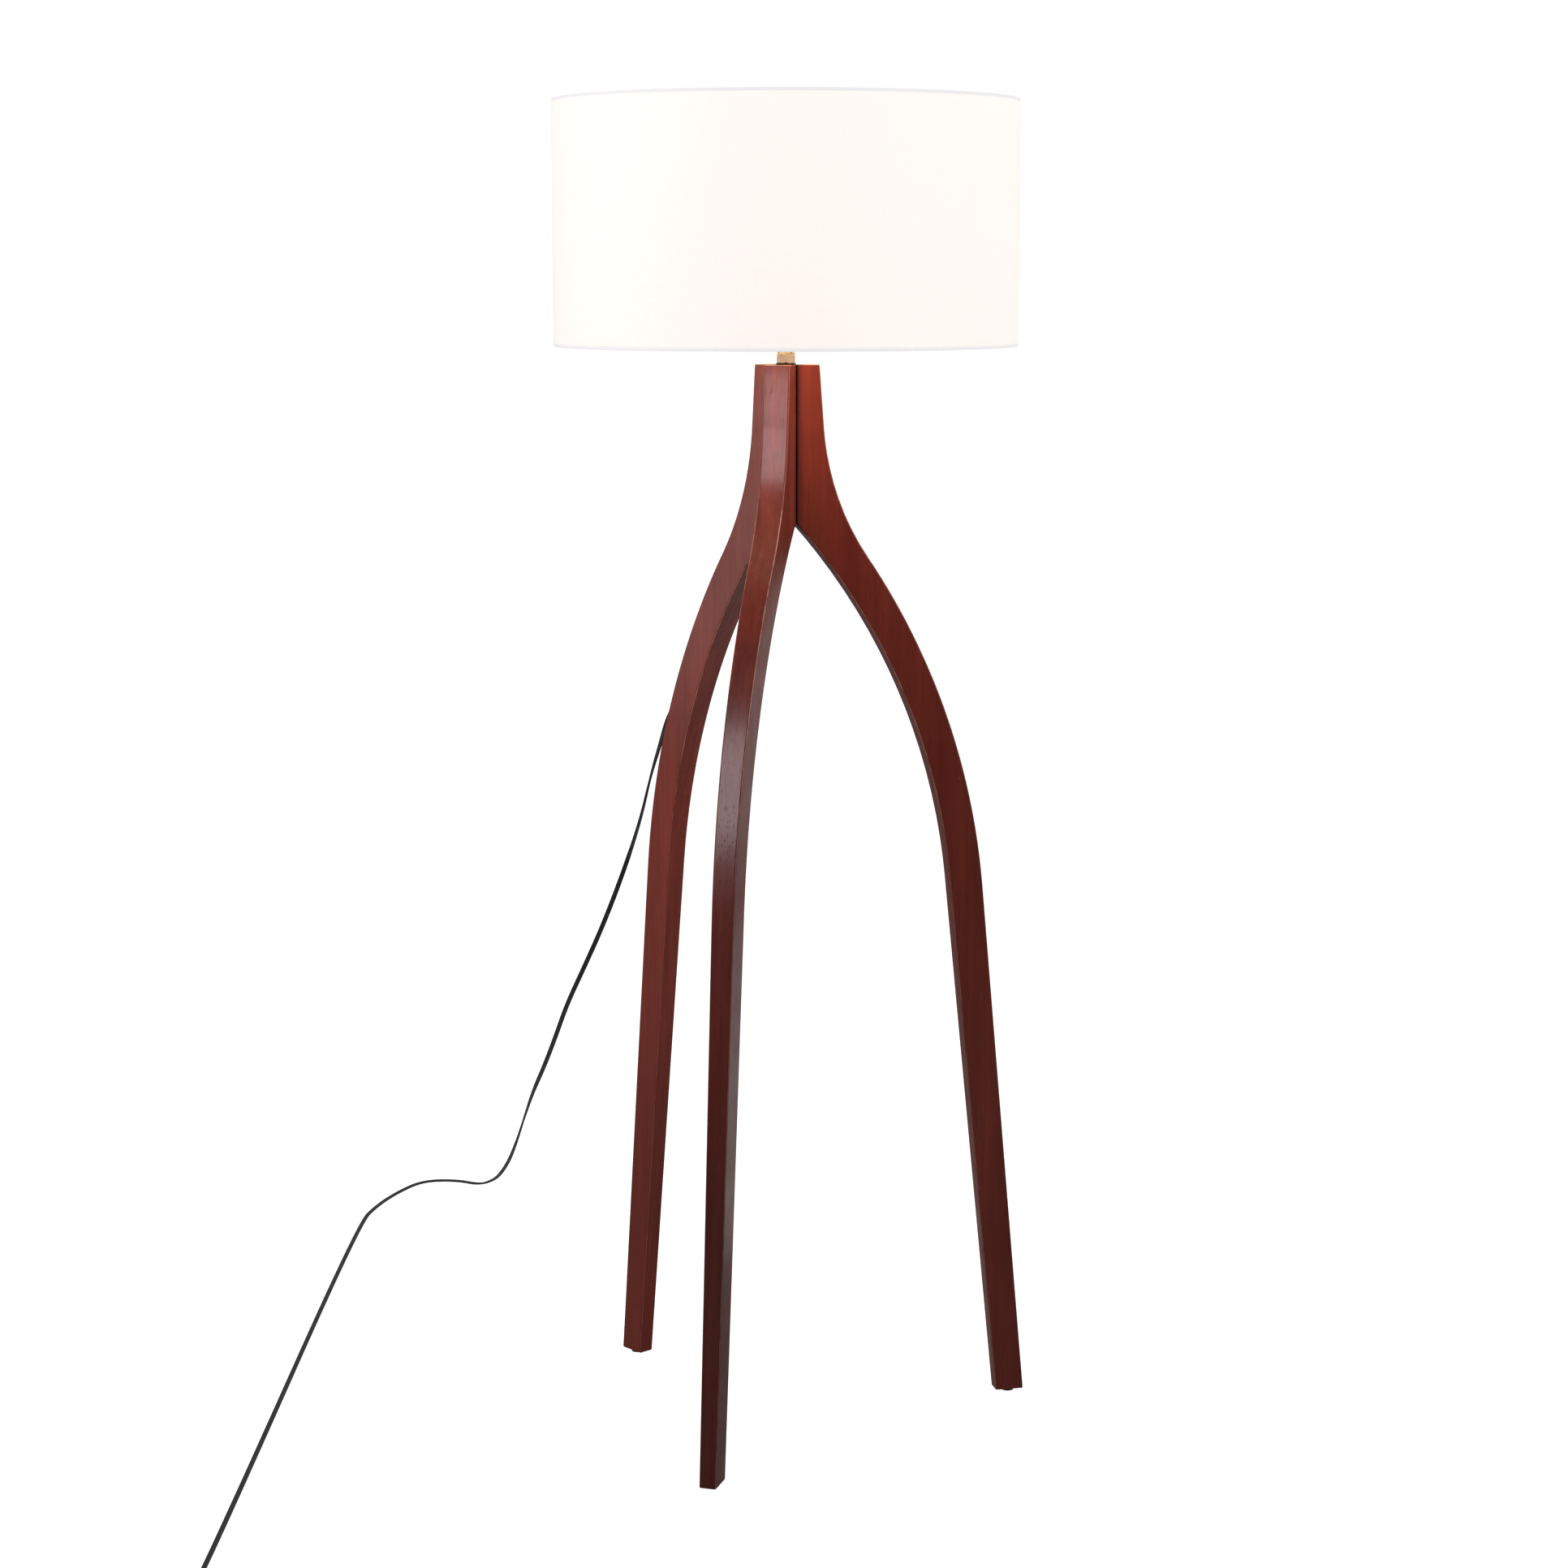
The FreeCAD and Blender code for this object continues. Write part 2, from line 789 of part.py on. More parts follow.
def make_column_hardware():
    bottom = V(0, 0, size("tube_bottom"))
    tube_height = "dims.tube_top - dims.tube_bottom"
    tube = ring_at("tube", "dims.tube_radius", "dims.tube_bore", tube_height, bottom)
    node(tube, "threaded_tube")

    thickness = size("washer_thickness")
    seat = V(0, 0, size("pocket_top") - thickness)
    washer = ring_at(
        "washer", "dims.washer_radius", "dims.tube_radius", "dims.washer_thickness", seat
    )
    node(washer, "lower_washer")

    base = seat - UP * size("nut_height")
    nut = prism("nut_blank", "dims.nut_corner", "dims.nut_height", base)
    hole = cylinder("nut_hole", "dims.tube_radius", "dims.nut_height", base)
    node(cut("nut", nut, hole), "lower_nut")


def make_star_washer():
    """The toothed lock washer between the neck and the column's top."""
    body = new_body("star")
    disc = circle_sketch(body, "star_disc", "dims.star_radius")
    pad = body.newObject("PartDesign::Pad", "star_pad")
    pad.Profile = disc
    pad.setExpression("Length", "dims.star_thickness")
    tooth = new_sketch(body, "star_tooth", "XY_Plane")
    half = "dims.star_tooth_width / 2"
    tip = "dims.star_radius + dims.star_tooth_length"
    polygon(
        tooth,
        [
            ("dims.star_radius / 2", f"-{half}"),
            (tip, f"-{half}"),
            (tip, half),
            ("dims.star_radius / 2", half),
        ],
    )
    tooth_pad = body.newObject("PartDesign::Pad", "star_tooth_pad")
    tooth_pad.Profile = tooth
    tooth_pad.setExpression("Length", "dims.star_tooth_thickness")
    doc.recompute()
    teeth = body.newObject("PartDesign::PolarPattern", "star_pattern")
    teeth.Originals = [tooth_pad]
    teeth.Axis = (disc, ["N_Axis"])
    teeth.Angle = 360
    teeth.setExpression("Occurrences", "dims.star_teeth")
    body.Tip = teeth
    doc.recompute()
    hole = circle_sketch(body, "star_bore", "dims.tube_radius")
    pocket(body, "star_hole", hole)
    body.Placement.Base = V(0, 0, size("column_top"))
    node(body, "neck_washer")


def neck_base():
    return size("column_top") + size("star_thickness")


def saddle_base():
    return neck_base() + size("neck_height")


def cap_base():
    return saddle_base() + size("saddle_thickness")


def make_neck():
    """A hexagonal brass coupling with its top chamfered to a cone."""
    base = V(0, 0, neck_base())
    blank = prism("neck_blank", "dims.neck_corner", "dims.neck_height", base, size("neck_turn"))
    turned = revolved(
        "neck_turned",
        [
            (None, None),
            ("dims.neck_foot_radius", None),
            ("dims.neck_corner", "dims.neck_foot_chamfer"),
            ("dims.neck_corner", "dims.neck_plain"),
            ("dims.neck_top_radius", "dims.neck_height"),
            (None, "dims.neck_height"),
        ],
    )
    turned.Placement.Base = base
    neck = doc.addObject("Part::Common", "neck_common")
    neck.Base = blank
    neck.Tool = turned
    hole = cylinder("neck_bore", "dims.tube_radius", "dims.neck_height", base)
    node(cut("neck", neck, hole), "hex_neck")


# ------------------------------------------------------ harp and its saddle


def make_saddle():
    """A strip bent up into two ears, which the harp's ends stand on."""
    body = new_body("saddle")
    sketch = new_sketch(body, "saddle_outline", "XZ_Plane")
    thick = "dims.saddle_thickness"
    ear = "dims.ear_inside"
    rise = "dims.ear_rise"
    top = f"dims.ear_top - {saddle_base()}"
    right = [
        ("dims.saddle_flat", None),
        (f"{ear} + {thick}", rise),
        (f"{ear} + {thick}", top),
        (ear, top),
        (ear, f"{rise} + {thick} / 2"),
        (f"dims.saddle_flat - {thick} / 3", thick),
    ]
    left = [(f"-({x})", y) for x, y in reversed(right)]
    polygon(sketch, right + left)
    pad = body.newObject("PartDesign::Pad", "saddle_pad")
    pad.Profile = sketch
    pad.setExpression("Length", "dims.saddle_width")
    pad.SideType = "Symmetric"
    doc.recompute()
    hole = circle_sketch(body, "saddle_bore", "dims.tube_radius")
    pocket(body, "saddle_hole", hole)
    # The ears are narrower than the strip.
    narrow = new_sketch(body, "saddle_narrow", "YZ_Plane")
    for sign in ("", "-"):
        polygon(
            narrow,
            [
                (f"{sign}dims.ear_half_width", rise),
                (f"{sign}dims.ear_half_width", f"{top} + 1"),
                (f"{sign}dims.saddle_width", f"{top} + 1"),
                (f"{sign}dims.saddle_width", rise),
            ],
        )
    pocket(body, "saddle_ears", narrow)
    body.Placement.Base = V(0, 0, saddle_base())
    node(body, "harp_saddle")


def make_harp():
    """A wire loop from one ear up over the bulb and down to the other."""
    foot = size("harp_foot")
    wide = size("harp_half_width")
    side = [
        (foot, size("harp_foot_height")),
        (foot, size("harp_straight_top")),
        (wide, size("harp_waist_low")),
        (wide, size("harp_waist_high")),
        (size("harp_shoulder"), size("harp_top")),
    ]
    right = [V(x, 0, z) for x, z in side]
    left = [V(-x, 0, z) for x, z in reversed(side)]
    points = right + left
    bends = [size("harp_bend")] * (len(points) - 2)
    shape, _length, _fill = tube_shape(points, size("harp_wire"), bends)
    node(rod_feature("harp_loop", shape), "harp")

    base = V(0, 0, size("harp_top"))
    flange = cylinder(
        "stud_flange", "dims.stud_flange_radius", "dims.stud_flange_height", base
    )
    shank_base = base + UP * size("stud_flange_height")
    shank = cylinder("stud_shank", "dims.stud_radius", "dims.stud_length", shank_base)
    stud = fuse("stud", flange, shank)
    loop = doc.getObject("harp_loop")
    node(cut("stud_seated", stud, loop), "harp_stud")


def make_sleeves():
    for side, sign in HARP_SIDES.items():
        base = V(sign * size("sleeve_offset"), 0, size("harp_foot_height"))
        sleeve = ring_at(
            f"sleeve_{side}",
            "dims.sleeve_radius",
            "dims.sleeve_bore",
            "dims.sleeve_length",
            base,
        )
        node(sleeve, f"harp_sleeve_{side}")


# ----------------------------------------------------------------- socket


def lift(body, height):
    body.Placement.Base = V(0, 0, height)
    return body


def switch_hole(name, radius):
    start = V(0, 0, size("switch_height"))
    return cylinder(name, radius, "dims.cap_radius * 2", start, FRONT)


def make_socket():
    wall = "dims.cap_wall"
    cap = revolved(
        "cap",
        [
            ("dims.tube_radius", None),
            ("dims.cap_foot_radius", None),
            ("dims.cap_radius", "dims.cap_shoulder"),
            ("dims.cap_radius", "dims.cap_height"),
            (f"dims.cap_radius - {wall} / 2", "dims.cap_height"),
            (f"dims.cap_radius - {wall}", f"dims.cap_shoulder + {wall} / 2"),
            (f"dims.cap_foot_radius - {wall} / 2", wall),
            ("dims.tube_radius", wall),
        ],
    )
    node(lift(cap, cap_base()), "socket_cap")

    rim = cap_base() + size("cap_height")
    shell = revolved(
        "shell",
        [
            ("dims.shell_radius - dims.shell_wall", None),
            ("dims.shell_radius", None),
            ("dims.shell_radius", "dims.shell_height"),
            ("dims.shell_radius - 2 * dims.shell_wall", "dims.shell_height"),
            (
                "dims.shell_radius - 2 * dims.shell_wall",
                "dims.shell_height - dims.shell_wall",
            ),
            (
                "dims.shell_radius - dims.shell_wall",
                "dims.shell_height - dims.shell_wall",
            ),
        ],
    )
    lift(shell, rim)
    hole = switch_hole("shell_switch_hole", "dims.switch_radius * 2")
    node(cut("shell_slotted", shell, hole), "socket_shell")

    low = rim + size("shell_wall")
    liner = ring_at(
        "liner",
        "dims.liner_radius",
        "dims.liner_radius - dims.liner_wall",
        "dims.liner_height",
        V(0, 0, low),
    )
    hole = switch_hole("liner_switch_hole", "dims.switch_radius * 2")
    node(cut("liner_slotted", liner, hole), "socket_liner")

    block = cylinder(
        "interior_block", "dims.interior_radius", "dims.interior_height", V(0, 0, low)
    )
    running = "dims.switch_radius + dims.switch_clearance"
    tools = [switch_hole("interior_switch_hole", running)]
    recesses, screws = [], []
    height = low + size("interior_height") / 2
    for side, sign in HARP_SIDES.items():
        across = V(sign, 0, 0)
        start = across * size("terminal_recess") + UP * height
        inner = start - across * size("terminal_length")
        recesses.append(
            cylinder(
                f"terminal_recess_{side}",
                "dims.terminal_radius + dims.terminal_clearance",
                "dims.terminal_length",
                start,
                across,
            )
        )
        recesses.append(
            cylinder(
                f"terminal_hole_{side}",
                "dims.terminal_shank",
                "dims.terminal_length",
                inner,
                across,
            )
        )
        head = cylinder(
            f"terminal_head_{side}",
            "dims.terminal_radius",
            "dims.interior_radius - dims.terminal_recess",
            start,
            across,
        )
        shank = cylinder(
            f"terminal_shank_{side}",
            "dims.terminal_shank",
            "dims.terminal_length",
            inner,
            across,
        )
        screws.append(fuse(f"terminal_screw_{side}", head, shank))
    node(cut("interior", block, *tools, *recesses), "socket_interior")
    node(group("terminals", screws), "terminal_screws")

    floor = low + size("interior_height")
    node(threaded_shell(floor), "screw_shell")

    width = size("contact_width")
    spot = FreeCAD.Placement(V(-width / 2, -width / 2, floor), FreeCAD.Rotation())
    strip = box(
        "contact_strip",
        "dims.contact_width",
        "dims.contact_width",
        "dims.contact_thickness",
        spot,
    )
    button = cylinder(
        "contact_button", "dims.contact_button_radius", "dims.contact_rise", V(0, 0, floor)
    )
    node(fuse("contact", strip, button), "centre_contact")


def threaded_shell(floor):
    """The socket's thin screw shell, plain inside, with a rim round its floor."""
    outer = "dims.screw_shell_radius"
    inner = f"{outer} - dims.screw_shell_wall"
    top = "dims.screw_shell_height"
    body = revolved(
        "screw",
        [
            ("dims.contact_width", None),
            (outer, None),
            (outer, top),
            (inner, top),
            (inner, "dims.screw_shell_wall"),
            ("dims.contact_width", "dims.screw_shell_wall"),
        ],
    )
    return lift(body, floor)


def make_switch():
    start = V(0, 0, size("switch_height")) + FRONT * size("switch_start")
    shaft = cylinder("switch_rod", "dims.switch_radius", "dims.switch_length", start, FRONT)
    node(shaft, "switch_shaft")

    base = V(0, 0, size("switch_height")) + FRONT * size("knob_start")
    hub = cylinder("knob_hub", "dims.knob_radius", "dims.knob_length", base, FRONT)
    wide = size("paddle_width")
    thick = size("paddle_thickness")
    front = base + FRONT * (size("knob_length") / 2 + size("paddle_length"))
    corner = front + V(-wide / 2, 0, -thick / 2)
    paddle = box(
        "knob_paddle",
        "dims.paddle_width",
        "dims.paddle_length",
        "dims.paddle_thickness",
        FreeCAD.Placement(corner, FreeCAD.Rotation()),
    )
    rounded = doc.addObject("Part::Fillet", "knob_rounded")
    rounded.Base = paddle
    doc.recompute()
    radius = size("paddle_round")
    rounded.Edges = [
        (number, radius, radius) for number in range(1, len(paddle.Shape.Edges) + 1)
    ]
    whole = fuse("knob_whole", hub, rounded)
    hole = cylinder("knob_hole", "dims.switch_radius", "dims.switch_length", start, FRONT)
    node(cut("knob", whole, hole), "switch_knob")


# ------------------------------------------------------------------- bulb


def globe_outline(globe, neck, joint, centre, bottom):
    """The glass's side from the top of the globe down to its neck's end."""
    direction = V(math.cos(joint), 0, -math.sin(joint))
    hollow = (globe * math.cos(joint) - neck) / (1 - math.cos(joint))
    middle = V(0, 0, centre)
    meet = middle + direction * globe
    hollow_middle = middle + direction * (globe + hollow)
    neck_top = hollow_middle - V(hollow, 0, 0)
    half_turn = (joint - math.pi / 2) / 2
    across = middle + V(math.cos(half_turn), 0, -math.sin(half_turn)) * globe
    inward = hollow_middle - V(math.cos(joint / 2), 0, -math.sin(joint / 2)) * hollow
    top = middle + UP * globe
    foot = V(neck, 0, bottom)
    edges = [
        Part.Arc(top, across, meet).toShape(),
        Part.Arc(meet, inward, neck_top).toShape(),
        Part.LineSegment(neck_top, foot).toShape(),
    ]
    return edges, top, foot


def make_bulb():
    contact_bottom = size("bulb_contact_bottom")
    contact = cylinder(
        "bulb_button",
        "dims.bulb_contact_radius",
        "dims.bulb_contact_height",
        V(0, 0, contact_bottom),
    )
    node(contact, "bulb_contact")

    insulator_bottom = contact_bottom + size("bulb_contact_height")
    insulator = cone(
        "bulb_glass_foot",
        "dims.bulb_contact_radius",
        "dims.bulb_insulator_radius",
        "dims.bulb_insulator_height",
        V(0, 0, insulator_bottom),
    )
    node(insulator, "bulb_insulator")

    base_bottom = insulator_bottom + size("bulb_insulator_height")
    node(lift(bulb_base(), base_bottom), "bulb_base")

    bottom = base_bottom + size("bulb_glass_seat")
    wall = size("bulb_wall")
    joint = math.radians(size("bulb_joint_angle"))
    globe, neck = size("bulb_globe_radius"), size("bulb_neck_radius")
    centre = size("bulb_globe_height")
    outside, top, foot = globe_outline(globe, neck, joint, centre, bottom)
    inside, inner_top, inner_foot = globe_outline(
        globe - wall, neck - wall, joint, centre, bottom
    )
    rim = Part.LineSegment(foot, inner_foot).toShape()
    crown = Part.LineSegment(inner_top, top).toShape()
    wire = Part.Wire(Part.__sortEdges__(outside + [rim] + inside + [crown]))
    glass = Part.Face(wire).revolve(ORIGIN, UP, 360)
    node(rod_feature("bulb_envelope", glass), "bulb_glass")


def bulb_base():
    """The screw cap: a thin shell whose thread is a row of rolled ribs."""
    outer = "dims.bulb_base_radius"
    wall = "dims.bulb_base_wall"
    rim = f"({outer} - dims.thread_depth / 3)"
    root = f"({outer} - dims.thread_depth)"
    lip = "dims.bulb_insulator_radius - 2 * dims.bulb_base_wall"
    corners = [(lip, None), ("dims.bulb_insulator_radius", None)]
    for rib in range(BULB_RIBS):
        low = f"dims.thread_start + {rib} * dims.thread_pitch"
        corners.append((root, low))
        corners.append((outer, f"{low} + dims.thread_rise"))
    corners.append((rim, "dims.bulb_base_height"))
    corners.append(("dims.bulb_neck_radius", "dims.bulb_base_height"))
    corners.append(("dims.bulb_neck_radius", "dims.bulb_glass_seat"))
    corners.append((f"{root} - 2 * {wall}", "dims.bulb_glass_seat"))
    corners.append((f"{root} - 2 * {wall}", "dims.thread_start"))
    corners.append((lip, wall))
    return revolved("bulb_cap", corners)


# ------------------------------------------------------------------ shade


def make_shade():
    bottom = size("shade_bottom")
    height = "dims.shade_top - dims.shade_bottom"
    fabric = ring_at(
        "fabric",
        "dims.shade_radius",
        "dims.shade_radius - dims.fabric_thickness",
        height,
        V(0, 0, bottom),
    )
    node(fabric, "shade_fabric")
    outer = "dims.shade_radius - dims.fabric_thickness"
    liner = ring_at(
        "backing",
        outer,
        f"{outer} - dims.liner_thickness",
        f"{height} - 2 * dims.liner_inset",
        V(0, 0, bottom + size("liner_inset")),
    )
    node(liner, "shade_liner")

    inside = size("shade_radius") - size("fabric_thickness") - size("liner_thickness")
    ring_radius = inside - size("ring_wire")
    heights = {
        "bottom": bottom + size("ring_inset"),
        "top": size("shade_top") - size("ring_inset"),
    }
    for end, ring_height in heights.items():
        ring = doc.addObject("Part::Torus", f"ring_{end}")
        ring.setExpression(
            "Radius1",
            "dims.shade_radius - dims.fabric_thickness"
            " - dims.liner_thickness - dims.ring_wire",
        )
        ring.setExpression("Radius2", "dims.ring_wire")
        ring.Placement.Base = V(0, 0, ring_height)
        node(ring, f"shade_{end}_ring")
    make_spider(ring_radius, heights["top"])


def hub_base():
    flange_top = size("harp_top") + size("stud_flange_height")
    return flange_top + size("seat_gap")


def make_spider(ring_radius, ring_height):
    """Three arms from a hub that seats on the harp to the shade's top ring."""
    base = V(0, 0, hub_base())
    hub = ring_at(
        "hub",
        "dims.spider_hub_radius",
        "dims.spider_hole",
        "dims.spider_hub_thickness",
        base,
    )
    level = hub_base() + size("spider_hub_thickness") / 2
    wire = size("spider_wire")
    pieces = [hub]
    for count, azimuth in enumerate(SPIDER_ARMS, start=1):
        points = [
            polar(size("spider_hub_radius") - 2, azimuth, level),
            polar(size("spider_flat"), azimuth, level),
            polar(ring_radius, azimuth, ring_height),
        ]
        shape, _length, _fill = tube_shape(points, wire, [size("spider_bend")])
        pieces.append(rod_feature(f"spider_arm_{count}", shape))
    node(fuse("spider", *pieces), "shade_spider")


def make_finial():
    """A turned brass knob that screws down on the harp's stud."""
    top = "dims.finial_height"
    ball = "dims.finial_ball_radius"
    corners = [
        ("dims.finial_hole", None),
        ("dims.finial_base_radius", None),
        ("dims.finial_base_radius", "dims.finial_base_height"),
        ("dims.finial_cove_radius", "dims.finial_cove_height"),
        ("dims.finial_waist_radius", "dims.finial_waist_low"),
        ("dims.finial_waist_radius", "dims.finial_waist_height"),
    ]
    sweep = "(dims.finial_ball_end - dims.finial_ball_start)"
    for flat in range(1, FINIAL_FLATS):
        angle = f"((dims.finial_ball_start + {sweep} * {flat} / {FINIAL_FLATS}) * 1deg)"
        middle = f"({top} - {ball})"
        corners.append((f"{ball} * cos{angle}", f"{middle} + {ball} * sin{angle}"))
    corners += [
        (None, top),
        (None, "dims.finial_hole_depth"),
        ("dims.finial_hole", "dims.finial_hole_depth"),
    ]
    body = revolved("finial_knob", corners)
    rest = hub_base() + size("spider_hub_thickness") + size("finial_gap")
    node(lift(body, rest), "finial")


# ----------------------------------------------------------------- wiring


def make_lead():
    """The lead inside the lamp, from the socket to the bushing."""
    points = [
        V(0, 0, size("lead_top")),
        V(0, 0, size("channel_top")),
        exit_point(-size("exit_depth")),
        exit_point(size("bushing_half")),
    ]
    bends = [size("lead_bend")] * 2
    shape, _length, _fill = tube_shape(points, size("lead_radius"), bends)
    node(rod_feature("lead", shape), "inner_lead")


def make_bushing():
    """A rubber sleeve pressed into the exit bore, tapered outside it."""
    half = size("bushing_half")
    direction = exit_direction()
    plain = cylinder(
        "bushing_plain", "dims.exit_bore", "dims.bushing_half", exit_point(-half), direction
    )
    taper = cone(
        "bushing_taper",
        "dims.exit_bore",
        "dims.bushing_tip_radius",
        "dims.bushing_half",
        exit_point(),
        direction,
    )
    hole = cylinder(
        "bushing_hole",
        "dims.lead_radius",
        "2 * dims.bushing_half",
        exit_point(-half),
        direction,
    )
    whole = fuse("bushing_whole", plain, taper)
    node(cut("bushing", whole, hole), "cord_bushing")


def cord_bends(points):
    """Each bend as large as its two runs allow."""
    bends = []
    for k in range(1, len(points) - 1):
        before = points[k] - points[k - 1]
        after = points[k + 1] - points[k]
        half = before.getAngle(after) / 2
        bends.append(0.45 * min(before.Length, after.Length) / math.tan(half))
    return bends


def coil_frame():
    """The coil's centre, and the angle at which the cord reaches it."""
    end = V(*CORD_ROUTE[-1])
    heading = (end - V(*CORD_ROUTE[-2])).normalize()
    inward = V(-heading.y, heading.x, 0)
    centre = end + inward * size("coil_radius")
    start = math.degrees(math.atan2(-inward.y, -inward.x))
    return V(centre.x, centre.y, 0), start


def make_cord():
    points = [V(*point) for point in CORD_ROUTE]
    points[0] = exit_point(size("bushing_half"))
    bends = cord_bends(points)
    shape, length, fill = tube_shape(points, size("cord_radius"), bends)
    print("cord length", round(length), "volume over section x length", round(fill, 4))
    print("cord bend radii", [round(bend) for bend in bends])
    node(rod_feature("cord_tube", shape), "cord")

    centre, start = coil_frame()
    coil = ring_at(
        "coil",
        "dims.coil_radius + dims.coil_half_width",
        "dims.coil_radius - dims.coil_half_width",
        "dims.coil_height",
        centre,
    )
    node(coil, "cord_coil")

    leave = start + 360 * size("coil_turns")
    heading = polar(1, leave + 90)
    height = size("plug_axis_height")
    tail_start = centre + polar(size("coil_radius"), leave, height)
    tail = cylinder(
        "tail_tube", "dims.cord_radius", "dims.tail_length", tail_start, heading
    )
    node(tail, "cord_tail")
    make_plug(tail_start + heading * size("tail_length"), leave + 90)


def make_plug(start, azimuth):
    """A two-blade plug lying on its flat side, with a short strain relief."""
    along = polar(1, azimuth)
    turn = FreeCAD.Rotation(UP, azimuth)
    relief = cone(
        "plug_relief",
        "dims.relief_tip_radius",
        "dims.relief_radius",
        "dims.relief_length",
        start,
        along,
    )
    across = polar(1, azimuth + 90)
    back = start + along * size("relief_length")
    corner = back - across * (size("plug_width") / 2)
    corner -= UP * size("plug_axis_height")
    block = box(
        "plug_block",
        "dims.plug_length",
        "dims.plug_width",
        "2 * dims.plug_axis_height",
        FreeCAD.Placement(corner, turn),
    )
    rounded = doc.addObject("Part::Fillet", "plug_rounded")
    rounded.Base = block
    doc.recompute()
    radius = size("plug_round")
    rounded.Edges = [
        (number, radius, radius) for number in range(1, len(block.Shape.Edges) + 1)
    ]
    node(fuse("plug", rounded, relief), "plug_body")

    blades = []
    face = back + along * size("plug_length")
    for count, sign in enumerate((-1, 1), start=1):
        middle = face + across * (sign * size("blade_spacing") / 2)
        corner = middle - across * (size("blade_thickness") / 2)
        corner -= UP * (size("blade_width") / 2)
        blades.append(
            box(
                f"blade_{count}",
                "dims.blade_length",
                "dims.blade_thickness",
                "dims.blade_width",
                FreeCAD.Placement(corner, turn),
            )
        )
    node(group("blades", blades), "plug_blades")


# ----------------------------------------------------------- build and save


def write_parts():
    """Check every object and shape, then write one STEP file per node."""
    doc.recompute()
    for item in doc.Objects:
        if {"Invalid", "Error"} & set(item.State):
            raise RuntimeError(f"{item.Label} did not compute: {item.State}")
    for item in nodes:
        if item.Shape.isNull() or not item.Shape.isValid():
            raise RuntimeError(f"{item.Label} has no valid shape")
    os.makedirs("parts", exist_ok=True)
    for item in nodes:
        item.Shape.exportStep(os.path.join("parts", f"{item.Label}.step"))
    print(len(nodes), "nodes written")


make_legs()
make_feet()
make_column_hardware()
make_star_washer()
make_neck()
make_saddle()
make_harp()
make_sleeves()
make_socket()
make_switch()
make_bulb()
make_shade()
make_finial()
make_lead()
make_bushing()
make_cord()
write_parts()
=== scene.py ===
import json
import math

import bpy
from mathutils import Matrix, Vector


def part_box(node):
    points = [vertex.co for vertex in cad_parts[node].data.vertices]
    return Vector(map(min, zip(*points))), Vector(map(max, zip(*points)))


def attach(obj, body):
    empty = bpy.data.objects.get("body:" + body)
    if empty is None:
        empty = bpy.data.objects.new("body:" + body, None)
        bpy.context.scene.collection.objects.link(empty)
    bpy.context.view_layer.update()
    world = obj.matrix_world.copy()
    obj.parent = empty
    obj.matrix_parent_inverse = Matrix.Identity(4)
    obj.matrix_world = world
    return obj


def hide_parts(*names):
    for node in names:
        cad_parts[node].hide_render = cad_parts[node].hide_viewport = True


# The tripod floor lamp: its camera, its cord and plug, the looks of every piece, the
# shade's cloth, and the studio around it. Everything is in metres, in the row frame.

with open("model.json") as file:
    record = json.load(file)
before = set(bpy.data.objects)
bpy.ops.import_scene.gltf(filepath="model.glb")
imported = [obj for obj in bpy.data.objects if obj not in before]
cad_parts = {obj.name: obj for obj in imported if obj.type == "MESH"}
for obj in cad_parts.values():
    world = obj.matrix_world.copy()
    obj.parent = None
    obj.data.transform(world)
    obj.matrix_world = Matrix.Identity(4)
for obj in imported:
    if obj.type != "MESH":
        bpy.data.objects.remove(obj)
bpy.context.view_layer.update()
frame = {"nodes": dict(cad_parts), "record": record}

# The camera's place and direction.
CAMERA_PLACE = (1.0270, -3.2833, 1.2300)
CAMERA_HEADING = math.radians(17.403)
CAMERA_PITCH = math.radians(8.927)
LENS_MM = 75.2

# The flat twin cord. Its middle lies half its thickness, and a hair more, above the floor.
CORD_WIDTH = 0.0055
CORD_LOBE = 0.0014
LOBE_SWEEP = math.radians(132)  # how far round each core goes, to either side
LOBE_STEPS = 9
FLOOR_CLEARANCE = 0.0002
CORD_HEIGHT = CORD_LOBE + FLOOR_CLEARANCE
# (x, y, z, twist in degrees) from the rear left leg to the coil.
CORD_ROUTE = [
    (-0.157, 0.091, 0.755, -310),
    (-0.162, 0.094, 0.748, -310),
    (-0.169, 0.099, 0.736, -300),
    (-0.177, 0.104, 0.715, -270),
    (-0.193, 0.113, 0.674, -228),
    (-0.208, 0.121, 0.622, -196),
    (-0.232, 0.127, 0.558, -142),
    (-0.264, 0.146, 0.492, -136),
    (-0.297, 0.169, 0.435, -140),
    (-0.333, 0.209, 0.383, -146),
    (-0.367, 0.257, 0.330, -151),
    (-0.403, 0.312, 0.280, -143),
    (-0.442, 0.370, 0.230, -104),
    (-0.479, 0.432, 0.179, -72),
    (-0.515, 0.494, 0.129, -49),
    (-0.551, 0.555, 0.084, -8),
    (-0.588, 0.613, 0.047, 0),
    (-0.622, 0.670, 0.021, 0),
    (-0.657, 0.708, CORD_HEIGHT, 0),
    (-0.696, 0.719, CORD_HEIGHT, 0),
    (-0.738, 0.702, CORD_HEIGHT, 0),
    (-0.748, 0.646, CORD_HEIGHT, 0),
    (-0.749, 0.577, CORD_HEIGHT, 0),
    (-0.737, 0.492, CORD_HEIGHT, 0),
    (-0.390, -0.615, CORD_HEIGHT, 0),
    (-0.377, -0.673, CORD_HEIGHT, 0),
]
COIL_CENTRE = (-0.3230, -0.7092)
COIL_RADIUS = 0.0331
COIL_START = math.radians(204.7)
COIL_TURNS = 2.25
COIL_STEPS = 24  # control points in each turn
COIL_PITCH = 0.0032
PLUG_HEIGHT = 0.008
TAIL_LENGTH = 0.030
